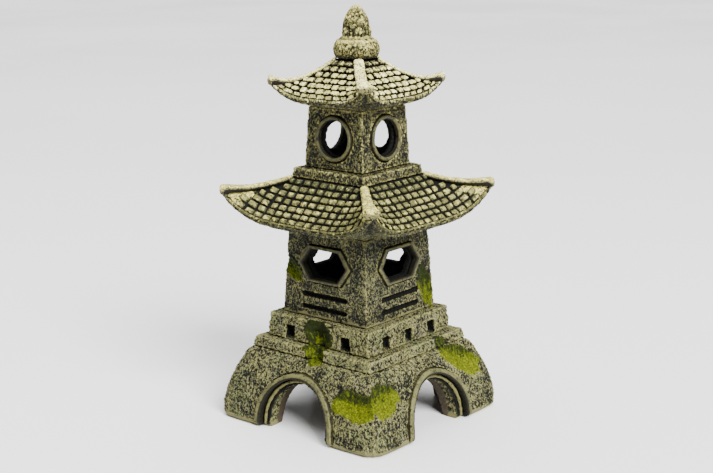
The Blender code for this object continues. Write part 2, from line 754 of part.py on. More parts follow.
def make_ridge_caps(roof, roof_object, parts, material):
    """Four smooth caps that cover the ridges and end at the upturned tips."""
    grooves = new_collection(f"{roof.name}_grooves")
    for corner, corner_name in enumerate(CORNERS):
        turn = corner * QUARTER_TURN - QUARTER_TURN / 2
        cap = ridge_strip(f"{roof.name}_ridge_{corner_name}", roof, roof.cap_thick, 0.0, parts, material)
        cap.rotation_euler.z = turn
        groove = ridge_strip("ridge_groove", roof, roof.cap_thick + SEAM, SEAM, grooves)
        groove.rotation_euler.z = turn
        as_cutter(groove)
    boolean(roof_object, "DIFFERENCE", grooves)


def turned_solid(name, profile, parts, material):
    """A round piece: its profile runs down the outside, from the top to the bottom."""
    mesh = bpy.data.meshes.new(name)
    points = [(radius * MM, 0.0, height * MM) for radius, height in profile]
    edges = [(index, index + 1) for index in range(len(points) - 1)]
    mesh.from_pydata(points, edges, [])
    item = bpy.data.objects.new(name, mesh)
    parts.objects.link(item)
    screw = item.modifiers.new("turn", "SCREW")
    screw.steps = FINIAL_STEPS
    screw.render_steps = FINIAL_STEPS
    screw.use_merge_vertices = True
    screw.merge_threshold = 0.00001
    settle(item)
    item.data.name = name
    item.data.materials.clear()
    item.data.materials.append(material)
    item.data.shade_smooth()
    item.data.set_sharp_from_angle(angle=SMOOTH_ANGLE)
    return item


def make_finial(parts, material):
    """The ring and the lotus bud on top of the upper roof."""
    low, wide, high = FINIAL_RING_RADII
    ring = [(0.0, FINIAL_RING_TOP), (high, FINIAL_RING_TOP)]
    swell = wide - (high + low) / 2
    for step in range(1, FINIAL_RING_STEPS):
        share = step / FINIAL_RING_STEPS
        height = FINIAL_RING_TOP + (FINIAL_RING_BOTTOM - FINIAL_RING_TOP) * share
        waist = high + (low - high) * share
        ring.append((waist + swell * math.sin(math.pi * share), height))
    ring += [(low, FINIAL_RING_BOTTOM), (0.0, FINIAL_RING_BOTTOM)]
    turned_solid("finial_ring", ring, parts, material)
    bud = [(0.0, BUD_TOP)]
    for radius, share in reversed(BUD_PROFILE):
        bud.append((radius, BUD_BOTTOM + (BUD_TOP - BUD_BOTTOM) * share))
    bud.append((0.0, BUD_BOTTOM))
    turned_solid("finial_bud", bud, parts, material)


def face_half(height):
    """Half width of the outside at a height, from the floor to the top of the lower storey."""
    courses = (
        (LOWER_STEP_BOTTOM, LOWER_STEP_TOP, LOWER_STEP_HALF),
        (PARAPET_BOTTOM, PARAPET_TOP, PARAPET_HALF),
        (LOWER_WALL_BOTTOM, LOWER_WALL_TOP, LOWER_WALL_HALF),
    )
    for bottom, top, halves in courses:
        if bottom <= height <= top:
            return halves[0] + (halves[1] - halves[0]) * (height - bottom) / (top - bottom)
    return bulge_half(height)


def ragged(around, number):
    """How far a broken hollow reaches in one direction, as a share of its even radius."""
    slow = math.sin(4 * around + 1.7 * number)
    fast = math.sin(7 * around - 2.3 * number)
    return 1.0 + HOLLOW_RAGGED * (slow + fast) / 2


def hollow_cutter(number, place, bite, turn, cutters):
    """A ragged lens that leans with the face and bites into it to a given depth."""
    side, across, height = place
    half_long, half_wide, depth = bite
    fuller = 1.0 / math.sqrt(1.0 - HOLLOW_LIFT ** 2)
    deep = depth / (1.0 - HOLLOW_LIFT)
    lean = math.atan2(face_half(height - 1.0) - face_half(height + 1.0), 2.0)
    lens = bmesh.new()
    bmesh.ops.create_uvsphere(lens, u_segments=HOLLOW_AROUND, v_segments=HOLLOW_LEVELS, radius=1.0)
    for vert in lens.verts:
        reach = ragged(math.atan2(vert.co.y, vert.co.x), number)
        long_way, wide_way = vert.co.x * half_long * reach, vert.co.y * half_wide * reach
        vert.co = Vector((long_way * fuller, -(vert.co.z + HOLLOW_LIFT) * deep, wide_way * fuller))
    in_face = Matrix.Rotation(-math.radians(turn), 3, "Y")
    leaning = Matrix.Rotation(-lean, 3, "X")
    bmesh.ops.rotate(lens, verts=lens.verts, matrix=leaning @ in_face)
    bmesh.ops.translate(lens, vec=(across, -face_half(height), height), verts=lens.verts)
    return turn_to_side(object_from_mesh("hollow", lens, cutters), side)


def cut_hollows(pieces, cutters):
    """Broken hollows in the stone; the unseen sides repeat those of the seen ones."""
    for number, (place, bite, turn, bitten) in enumerate(HOLLOWS):
        cutter = as_cutter(hollow_cutter(number, place, bite, turn, cutters))
        for piece in bitten:
            boolean(pieces[piece], "DIFFERENCE", cutter)


def build_pagoda():
    """Make every piece from the ground up."""
    clear_scene()
    parts = new_collection("pagoda")
    cutters = new_collection("cutters")
    stone = make_material("stone_resin", (0.34, 0.35, 0.20), 0.75)
    moulding = make_material("moulding_resin", (0.42, 0.41, 0.22), 0.65)
    tile = make_material("tile_resin", (0.55, 0.52, 0.33), 0.7)

    pieces = make_feet(parts, cutters, stone)
    make_arch_ring(parts, cutters, moulding)
    step_levels = (LOWER_STEP_BOTTOM, LOWER_STEP_TOP)
    pieces["lower_step"] = make_course("lower_step", *step_levels, LOWER_STEP_HALF, LOWER_STEP_INNER,
                                       parts, stone)
    parapet_levels = (PARAPET_BOTTOM, PARAPET_TOP)
    pieces["parapet"] = make_course("parapet", *parapet_levels, PARAPET_HALF, PARAPET_INNER, parts, stone)
    cut_drains(pieces["parapet"], cutters)
    pieces.update(make_lower_storey(parts, cutters, stone, moulding))
    lower_roof = make_roof(LOWER_ROOF, parts, tile)
    make_ridge_caps(LOWER_ROOF, lower_roof, parts, tile)
    make_course("collar", COLLAR_BOTTOM, COLLAR_TOP, COLLAR_HALF, COLLAR_INNER, parts, stone)
    make_upper_storey(parts, cutters, stone, moulding)
    upper_roof = make_roof(UPPER_ROOF, parts, tile)
    make_ridge_caps(UPPER_ROOF, upper_roof, parts, tile)
    make_finial(parts, stone)
    cut_hollows(pieces, cutters)


build_pagoda()
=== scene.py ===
"""Looks of a cast resin pagoda ornament: pitted stone paint, dry-brushed tiles, mossy broken hollows.

The sizes in the classes are millimetres, as in the part's source; the meshes are in metres.
"""

import logging
import math
from dataclasses import dataclass, field, replace
from enum import Enum
from functools import partial
from typing import Any, Callable, Iterator, Sequence

import bpy
import numpy as np
from mathutils import Matrix, Vector, noise


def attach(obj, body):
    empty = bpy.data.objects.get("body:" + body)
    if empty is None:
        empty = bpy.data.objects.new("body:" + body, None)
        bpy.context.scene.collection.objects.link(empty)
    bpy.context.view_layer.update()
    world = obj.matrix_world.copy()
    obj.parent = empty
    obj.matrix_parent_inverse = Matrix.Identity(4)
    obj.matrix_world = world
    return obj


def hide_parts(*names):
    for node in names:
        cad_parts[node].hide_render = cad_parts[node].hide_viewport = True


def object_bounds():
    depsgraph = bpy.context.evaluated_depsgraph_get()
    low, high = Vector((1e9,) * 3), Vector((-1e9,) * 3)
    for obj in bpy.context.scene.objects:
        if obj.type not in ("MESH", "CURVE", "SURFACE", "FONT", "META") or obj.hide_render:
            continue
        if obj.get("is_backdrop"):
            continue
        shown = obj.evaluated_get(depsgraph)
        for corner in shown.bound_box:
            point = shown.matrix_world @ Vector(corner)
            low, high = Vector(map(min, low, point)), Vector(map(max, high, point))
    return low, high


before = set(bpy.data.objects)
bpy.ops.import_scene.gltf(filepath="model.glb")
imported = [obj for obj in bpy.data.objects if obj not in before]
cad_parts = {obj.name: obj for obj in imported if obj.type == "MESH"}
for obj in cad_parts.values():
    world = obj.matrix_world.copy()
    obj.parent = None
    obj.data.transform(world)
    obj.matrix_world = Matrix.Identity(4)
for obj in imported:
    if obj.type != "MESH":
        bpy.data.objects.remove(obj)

LOG = logging.getLogger("pagoda")
MM = 0.001
QUARTER_TURN = math.pi / 2
SIDES = ("front", "right", "back", "left")
CORNERS = ("front_right", "back_right", "back_left", "front_left")

Points = np.ndarray
Socket = bpy.types.NodeSocket
Tree = bpy.types.NodeTree
Piece = bpy.types.Object
Material = bpy.types.Material


class Slot(Enum):
    """Material slots of the record."""

    STONE = "stone_resin"
    MOULDING = "moulding_resin"
    TILE = "tile_resin"


class Mark(Enum):
    """Measures stored on the points of a mesh, which the finishes read."""

    CREST = "crest"
    MOSS = "moss"
    SHADE = "shade"
    RECESS = "recess"
    INSIDE = "inside"
    # The cracks, and the painted shadow under the broken hollows' upper rims; the relief cuts both in a
    # little
    CRACK = "crack"
    RISE = "rise"
    TONE = "tone"
    BAND = "band"


class Outline(Enum):
    """Outlines of the windows."""

    ROUND = "round"
    HEXAGON = "hexagon"


# Small tools for meshes


def deselect_all() -> None:
    """Leave edit mode and clear the selection, which an operator would act on."""
    if bpy.context.mode != "OBJECT":
        bpy.ops.object.mode_set(mode="OBJECT")
    bpy.ops.object.select_all(action="DESELECT")


def pick(piece: Piece) -> None:
    """Make one piece the only selected and the active one.

    Args:
        piece: the piece.
    """
    deselect_all()
    piece.select_set(True)
    bpy.context.view_layer.objects.active = piece


def apply_modifier(piece: Piece, kind: str, **settings: Any) -> None:
    """Add a modifier and make its result the piece's mesh.

    Args:
        piece: the mesh object.
        kind: the modifier's type.
        **settings: the modifier's values.
    """
    pick(piece)
    change = piece.modifiers.new(kind.lower(), kind)
    for key, value in settings.items():
        setattr(change, key, value)
    bpy.ops.object.modifier_apply(modifier=change.name)


def tidy_mesh(piece: Piece, gap: float = 1e-6) -> None:
    """Merge doubled points and turn all faces outwards.

    Args:
        piece: the mesh object.
        gap: points nearer than this are merged, in metres.
    """
    pick(piece)
    bpy.ops.object.mode_set(mode="EDIT")
    bpy.ops.mesh.select_all(action="SELECT")
    bpy.ops.mesh.remove_doubles(threshold=gap)
    bpy.ops.mesh.normals_make_consistent(inside=False)
    bpy.ops.object.mode_set(mode="OBJECT")


def name_piece(piece: Piece, name: str) -> Piece:
    """Give a piece and its mesh the same name.

    Args:
        piece: the piece.
        name: the name.

    Returns:
        The same piece.
    """
    piece.name = name
    piece.data.name = name
    return piece


def copy_nodes(name: str, nodes: Sequence[str]) -> Piece:
    """Copy some nodes' meshes into one new piece.

    Args:
        name: the new piece's name.
        nodes: names of the nodes.

    Returns:
        The joined and merged copy; the nodes themselves stay as they are.
    """
    copies = []
    for node in nodes:
        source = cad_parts[node]
        copy = bpy.data.objects.new(name, source.data.copy())
        bpy.context.scene.collection.objects.link(copy)
        copies.append(copy)
    piece = join_pieces(name, copies)
    piece.data.materials.clear()
    tidy_mesh(piece)
    return piece


def vectors_of(piece: Piece, key: str) -> Points:
    """Read one vector for each point of a mesh.

    Args:
        piece: the mesh object.
        key: the vector's name in the mesh.

    Returns:
        The vectors, one to a row.
    """
    flat = np.empty(len(piece.data.vertices) * 3)
    piece.data.vertices.foreach_get(key, flat)
    return flat.reshape(-1, 3)


def points_of(piece: Piece) -> Points:
    """All points of a piece's mesh, in millimetres."""
    return vectors_of(piece, "co") / MM


def normals_of(piece: Piece) -> Points:
    """The normals at all points of a piece's mesh."""
    return vectors_of(piece, "normal")


def move_points(piece: Piece, points: Points) -> None:
    """Put the points of a mesh at new places, given in millimetres."""
    piece.data.vertices.foreach_set("co", (points * MM).ravel())
    piece.data.update()


def store(piece: Piece, mark: Mark, values: Points) -> None:
    """Keep one number for each point of a mesh.

    Args:
        piece: the piece's mesh object.
        mark: the measure.
        values: its values.
    """
    layer = piece.data.attributes.get(mark.value)
    if layer is None:
        layer = piece.data.attributes.new(mark.value, "FLOAT", "POINT")
    layer.data.foreach_set("value", np.asarray(values, dtype=np.float32))


def soft_step(low: float, high: float, values: Points) -> Points:
    """A smooth rise from 0 at low to 1 at high, or a fall if low is the greater."""
    share = np.clip((values - low) / (high - low), 0.0, 1.0)
    return share * share * (3.0 - 2.0 * share)


def ragged_noise(points: Points, size: float) -> Points:
    """Noise of about -1 to 1 at some points, with blots of a size in millimetres."""
    return np.array([noise.noise(Vector(point) / size) for point in points])


def ragged_noise_at(points: Points, chosen: Points, size: float) -> Points:
    """The same noise at the chosen ones of many points, and 0 at the others.

    Args:
        points: the points.
        chosen: indices of the chosen ones.
        size: the blots' size, in millimetres.

    Returns:
        The noise.
    """
    values = np.zeros(len(points))
    values[chosen] = ragged_noise(points[chosen], size)
    return values


def crest_of(piece: Piece, rounds: int = 14) -> Points:
    """How far each point stands proud of its smoothed surroundings, in millimetres.

    Args:
        piece: a piece with an even, fine mesh.
        rounds: how often the surroundings are averaged.

    Returns:
        Positive values on outer edges and negative ones in inner corners.
    """
    mesh = piece.data
    ends = np.empty(len(mesh.edges) * 2, dtype=np.int64)
    mesh.edges.foreach_get("vertices", ends)
    first, second = ends.reshape(-1, 2).T
    points = points_of(piece)
    count = np.bincount(ends, minlength=len(points)).astype(float)
    smooth = points.copy()
    for _ in range(rounds):
        for axis in range(3):
            line = smooth[:, axis]
            total = np.bincount(first, weights=line[second], minlength=len(points))
            total += np.bincount(second, weights=line[first], minlength=len(points))
            smooth[:, axis] = (line + total / count) / 2
    return ((points - smooth) * normals_of(piece)).sum(axis=1)


def remesh(piece: Piece, grid: float, fuse: float = 0.0, smooth_rounds: int = 2) -> None:
    """Give a piece an even, fine mesh, as soft-edged as a casting.

    Args:
        piece: a closed piece.
        grid: distance between points, in millimetres.
        fuse: how far neighbouring solids are grown to close the seam between them.
        smooth_rounds: how often the ripples of the grid are smoothed.
    """
    if fuse:
        apply_modifier(piece, "DISPLACE", strength=fuse * MM, mid_level=0.0)
    apply_modifier(piece, "REMESH", mode="VOXEL", voxel_size=grid * MM, use_smooth_shade=True)
    if fuse:
        apply_modifier(piece, "DISPLACE", strength=-fuse * MM, mid_level=0.0)
    apply_modifier(piece, "SMOOTH", factor=0.5, iterations=smooth_rounds)
    pick(piece)
    bpy.ops.object.shade_smooth()


def mapped_ball(name: str, around: int, along: int, place: Callable[[Points, Points], Points]) -> Piece:
    """A closed round form: a ball whose points are moved to the form's surface.

    Args:
        name: the piece's name.
        around: number of points around.
        along: number of rings from pole to pole.
        place: gives the points for the turns (radians) and shares from pole to pole.

    Returns:
        The new piece.
    """
    deselect_all()
    bpy.ops.mesh.primitive_uv_sphere_add(segments=around, ring_count=along, radius=1.0)
    piece = name_piece(bpy.context.object, name)
    ball = points_of(piece) * MM
    share = np.arccos(np.clip(ball[:, 2], -1.0, 1.0)) / math.pi
    turn = np.arctan2(ball[:, 1], ball[:, 0])
    move_points(piece, place(turn, share))
    tidy_mesh(piece)
    pick(piece)
    bpy.ops.object.shade_smooth()
    return piece


def join_pieces(name: str, pieces: Sequence[Piece]) -> Piece:
    """Join several new pieces into one.

    Args:
        name: its name.
        pieces: the pieces.

    Returns:
        The joined piece.
    """
    deselect_all()
    for piece in pieces:
        piece.select_set(True)
    bpy.context.view_layer.objects.active = pieces[0]
    if len(pieces) > 1:
        bpy.ops.object.join()
    return name_piece(pieces[0], name)


def side_points(points: Points, side: int) -> Points:
    """Turn points so that one side of the object comes to the front."""
    turn = np.array(Matrix.Rotation(-side * QUARTER_TURN, 3, "Z"))
    return points @ turn.T


def bed_piece(piece: Piece, slot: Slot, material: Material, nodes: Sequence[str] = ()) -> Piece:
    """Set a finished piece into the frame.

    Args:
        piece: the piece, in place.
        slot: not used.
        material: its finish.
        nodes: the nodes that it stands for.

    Returns:
        The same piece.
    """
    piece.data.materials.clear()
    piece.data.materials.append(material)
    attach(piece, "root")
    if nodes:
        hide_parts(*nodes)
    LOG.info("%s: %d faces", piece.name, len(piece.data.polygons))
    return piece


# Small tools for materials


def linear(hex_colour: str) -> tuple[float, float, float, float]:
    """Turn an sRGB hex colour into linear values.

    Args:
        hex_colour: such as #67643f.

    Returns:
        Red, green, blue and alpha.
    """
    channels = []
    for start in (1, 3, 5):
        value = int(hex_colour[start:start + 2], 16) / 255
        channels.append(value / 12.92 if value <= 0.04045 else ((value + 0.055) / 1.055) ** 2.4)
    return channels[0], channels[1], channels[2], 1.0


def add_node(
    tree: Tree,
    kind: str,
    links: dict[int | str, Any] | None = None,
    out: int = 0,
    **settings: Any,
) -> Socket:
    """Add a node with its settings and links.

    Args:
        tree: the node tree.
        kind: the node's type.
        links: for each input, the socket that feeds it or its value.
        out: which output is wanted.
        **settings: the node's own settings.

    Returns:
        The wanted output, or the first input of a node that has no output.
    """
    node = tree.nodes.new(kind)
    for key, value in settings.items():
        setattr(node, key, value)
    for key, value in (links or {}).items():
        if isinstance(value, bpy.types.NodeSocket):
            tree.links.new(value, node.inputs[key])
        else:
            node.inputs[key].default_value = value
    return node.outputs[out] if len(node.outputs) else node.inputs[0]


# Node kinds with their settings, as the trees use them
MIX = {"kind": "ShaderNodeMix", "out": 2, "data_type": "RGBA"}
SOFT_RANGE = {"kind": "ShaderNodeMapRange", "interpolation_type": "SMOOTHSTEP"}
NOISE = {"kind": "ShaderNodeTexNoise"}
PRODUCT = {"kind": "ShaderNodeMath", "operation": "MULTIPLY"}
TOTAL = {"kind": "ShaderNodeMath", "operation": "ADD"}
DIFFERENCE = {"kind": "ShaderNodeMath", "operation": "SUBTRACT"}
PRODUCT_AND_SUM = {"kind": "ShaderNodeMath", "operation": "MULTIPLY_ADD"}
GREATER = {"kind": "ShaderNodeMath", "operation": "MAXIMUM"}


@dataclass(frozen=True)
class Granite:
    """Worm-like pits of a stone-look casting, the same in the relief and in the paint.

    All sizes are millimetres on the object. Pit and fine are the sizes of the patterns that the
    larger and the finer pits are cut from, and the pits are a little narrower than that. They
    gather in some places and thin out in others, over a region. A shallow dip surrounds each
    pit, and thin ridges stand between them. Cover says how much of the stone is pitted.
    """

    pit: float = 1.35
    warp: float = 2.0
    warp_reach: float = 0.9
    fine: float = 0.7
    region: float = 9.0
    region_share: float = 0.18
    cover: float = 0.447
    soft: float = 0.035
    fine_cover: float = 0.42
    dip: float = 0.065
    ridge: float = 0.525
    stretch: tuple[float, float, float] = (1.15, 1.15, 0.85)

    def pits(self, tree: Tree, place: Socket) -> tuple[Socket, Socket, Socket]:
        """Build the pattern in a tree of either kind.

        Args:
            tree: a shader or geometry tree.
            place: the point on the object, in metres.

        Returns:
            Three values from 0 to 1: in the pits, in the dips round them, and on the ridges.
        """
        scale = [way / MM for way in self.stretch]
        place = add_node(tree, "ShaderNodeVectorMath", {0: place, 1: scale}, operation="MULTIPLY")
        bend = add_node(tree, links={"Vector": place, "Scale": 1 / self.warp, "Detail": 1.0}, out=1, **NOISE)
        bend = add_node(tree, "ShaderNodeVectorMath", {0: bend, 1: (0.5, 0.5, 0.5)}, operation="SUBTRACT")
        links = {0: bend, "Scale": 2 * self.warp_reach}
        bend = add_node(tree, "ShaderNodeVectorMath", links, operation="SCALE")
        bent = add_node(tree, "ShaderNodeVectorMath", {0: place, 1: bend}, operation="ADD")
        region = add_node(tree, links={"Vector": place, "Scale": 1 / self.region, "Detail": 1.0}, **NOISE)
        links = {0: region, 1: self.region_share, 2: -self.region_share / 2}
        region = add_node(tree, links=links, **PRODUCT_AND_SUM)
        links = {"Vector": bent, "Scale": 1 / self.pit, "Detail": 2.0, "Roughness": 0.55}
        coarse = add_node(tree, links=links, **NOISE)
        fine = add_node(tree, links={"Vector": bent, "Scale": 1 / self.fine, "Detail": 1.0}, **NOISE)
        coarse, fine = (add_node(tree, links={0: pattern, 1: region}, **TOTAL) for pattern in (coarse, fine))
        both = add_node(tree, links={0: coarse, 1: fine}, **TOTAL)
        both = add_node(tree, links={0: both, 1: -0.5, 2: 1.0}, **PRODUCT_AND_SUM)
        levels = (
            (coarse, self.cover),
            (fine, self.fine_cover),
            (coarse, self.cover + self.dip),
            (fine, self.fine_cover + self.dip),
            (both, 1.0 - self.ridge),
        )
        cuts = []
        for value, level in levels:
            links = {"Value": value, "From Min": level + self.soft, "From Max": level - self.soft}
            cuts.append(add_node(tree, links=links, **SOFT_RANGE))
        pits, dips = (add_node(tree, links={0: cuts[i], 1: cuts[i + 1]}, **GREATER) for i in (0, 2))
        return pits, dips, cuts[-1]


@dataclass(frozen=True)
class Relief:
    """How deep a surface is pitted, cracked and tufted, in millimetres."""

    name: str
    granite: Granite = field(default_factory=Granite)
    pit_depth: float = 0.38
    dip_share: float = 0.35
    grain_size: float = 0.9
    grain_height: float = 0.05
    crack_depth: float = 0.7
    tuft_size: float = 1.6
    tuft_height: float = 1.0

    def tree(self) -> Tree:
        """The geometry tree that moves each point along its normal.

        Returns:
            The tree, made once for each relief.
        """
        found = bpy.data.node_groups.get(self.name)
        if found is not None:
            return found
        tree = bpy.data.node_groups.new(self.name, "GeometryNodeTree")
        for way in ("INPUT", "OUTPUT"):
            tree.interface.new_socket("Geometry", in_out=way, socket_type="NodeSocketGeometry")
        mesh = add_node(tree, "NodeGroupInput")
        place = add_node(tree, "GeometryNodeInputPosition")
        normal = add_node(tree, "GeometryNodeInputNormal")
        marks = {}
        for mark in (Mark.MOSS, Mark.CRACK, Mark.INSIDE, Mark.BAND):
            kind = "GeometryNodeInputNamedAttribute"
            marks[mark] = add_node(tree, kind, {"Name": mark.value}, data_type="FLOAT")
        smooth = add_node(tree, links={0: marks[Mark.MOSS], 1: marks[Mark.INSIDE]}, **GREATER)
        smooth = add_node(tree, links={0: smooth, 1: marks[Mark.BAND]}, **GREATER)
        bare = add_node(tree, links={0: 1.0, 1: smooth}, use_clamp=True, **DIFFERENCE)
        pits, dips, _ = self.granite.pits(tree, place)
        pits = add_node(tree, links={0: dips, 1: self.dip_share, 2: pits}, **PRODUCT_AND_SUM)
        pits = add_node(tree, links={0: pits, 1: bare}, **PRODUCT)
        cut = add_node(tree, links={0: pits, 1: -self.pit_depth}, **PRODUCT)
        cut = add_node(tree, links={0: marks[Mark.CRACK], 1: -self.crack_depth, 2: cut}, **PRODUCT_AND_SUM)
        links = {"Vector": place, "Scale": 1 / (self.grain_size * MM), "Detail": 2.0}
        grain = add_node(tree, links=links, **NOISE)
        grain = add_node(tree, links={0: grain, 1: 0.5}, **DIFFERENCE)
        cut = add_node(tree, links={0: grain, 1: 2 * self.grain_height, 2: cut}, **PRODUCT_AND_SUM)
        links = {"Vector": place, "Scale": 1 / (self.tuft_size * MM), "Detail": 2.0, "Distortion": 0.6}
        tuft = add_node(tree, links=links, **NOISE)
        tuft = add_node(tree, links={0: tuft, 1: 0.5}, **DIFFERENCE)
        tuft = add_node(tree, links={0: tuft, 1: marks[Mark.MOSS]}, **PRODUCT)
        cut = add_node(tree, links={0: tuft, 1: 2 * self.tuft_height, 2: cut}, **PRODUCT_AND_SUM)
        cut = add_node(tree, links={0: cut, 1: MM}, **PRODUCT)
        offset = add_node(tree, "ShaderNodeVectorMath", {0: normal, "Scale": cut}, operation="SCALE")
        moved = add_node(tree, "GeometryNodeSetPosition", {"Geometry": mesh, "Offset": offset})
        add_node(tree, "NodeGroupOutput", {0: moved})
        return tree

    def press(self, piece: Piece) -> None:
        """Press the relief into a piece's mesh."""
        apply_modifier(piece, "NODES", node_group=self.tree())


@dataclass(frozen=True)
class Coat:
    """One coat of paint: where it is brushed on, and its colour.

    Args:
        colour: an sRGB hex colour, or a socket with one.
        measure: what decides where it goes.
        low: the measure's value where it begins, or None where the measure is its share.
        high: the value where it is full.
        most: how much of it shows where it is full.
    """

    colour: Any
    measure: Socket
    low: float | None = None
    high: float = 1.0
    most: float = 1.0


class Palette:
    """A new material with the measures and patterns that it reads, and the ways to lay paint on it."""

    def __init__(
        self,
        name: str,
        sheen: float,
        marks: Sequence[Mark] = (),
        blots: Sequence[tuple[float, float]] = (),
    ) -> None:
        """Start a dielectric material.

        Args:
            name: the material's name.
            sheen: its specular level, low for chalky, matt paint.
            marks: the stored measures that it reads.
            blots: size in millimetres and detail of each even pattern that it reads.
        """
        self.material = bpy.data.materials.new(name)
        self.material.use_nodes = True
        self.tree = self.material.node_tree
        self.shader = self.tree.nodes["Principled BSDF"]
        for key, value in {"Metallic": 0.0, "IOR": 1.5, "Specular IOR Level": sheen}.items():
            self.shader.inputs[key].default_value = value
        self.place = add_node(self.tree, "ShaderNodeTexCoord", out=3)
        self.measures = []
        for mark in marks:
            self.measures.append(add_node(self.tree, "ShaderNodeAttribute", out=2, attribute_name=mark.value))
        self.patterns = []
        for size, detail in blots:
            links = {"Vector": self.place, "Scale": 1 / (size * MM), "Detail": detail}
            self.patterns.append(add_node(self.tree, links=links, **NOISE))

    def brush(self, under: Any, *coats: Coat) -> Any:
        """Brush coats of paint over a ground, one after another.

        Args:
            under: the ground's sRGB hex colour, or a socket with its colour.
            *coats: the coats, in order.

        Returns:
            The colour that shows.
        """
        colour = linear(under) if isinstance(under, str) else under
        for coat in coats:
            share = coat.measure
            if coat.low is not None:
                links = {"Value": share, "From Min": coat.low, "From Max": coat.high, "To Max": coat.most}
                share = add_node(self.tree, links=links, **SOFT_RANGE)
            top = linear(coat.colour) if isinstance(coat.colour, str) else coat.colour
            colour = add_node(self.tree, links={0: share, 6: colour, 7: top}, **MIX)
        return colour

    def finish(
        self,
        colour: Socket,
        matt: tuple[Socket, float, float],
        relief: tuple[Socket, float, float] | None = None,
    ) -> Material:
        """Join the colour, the roughness and what is finer than the mesh to the shader.

        Args:
            colour: the colour.
            matt: an even pattern, and the roughness where it is low and where it is high.
            relief: a height from 0 to 1, its reach in millimetres and how much of it shows.

        Returns:
            The material.
        """
        pattern, smoothest, roughest = matt
        links = {"Value": pattern, "From Min": 0.3, "From Max": 0.7, "To Min": smoothest, "To Max": roughest}
        sockets = {"Base Color": colour, "Roughness": add_node(self.tree, links=links, **SOFT_RANGE)}
        if relief is not None:
            height, reach, strength = relief
            links = {"Height": height, "Distance": reach * MM, "Strength": strength}
            sockets["Normal"] = add_node(self.tree, "ShaderNodeBump", links)
        for key, socket in sockets.items():
            self.tree.links.new(socket, self.shader.inputs[key])
        return self.material


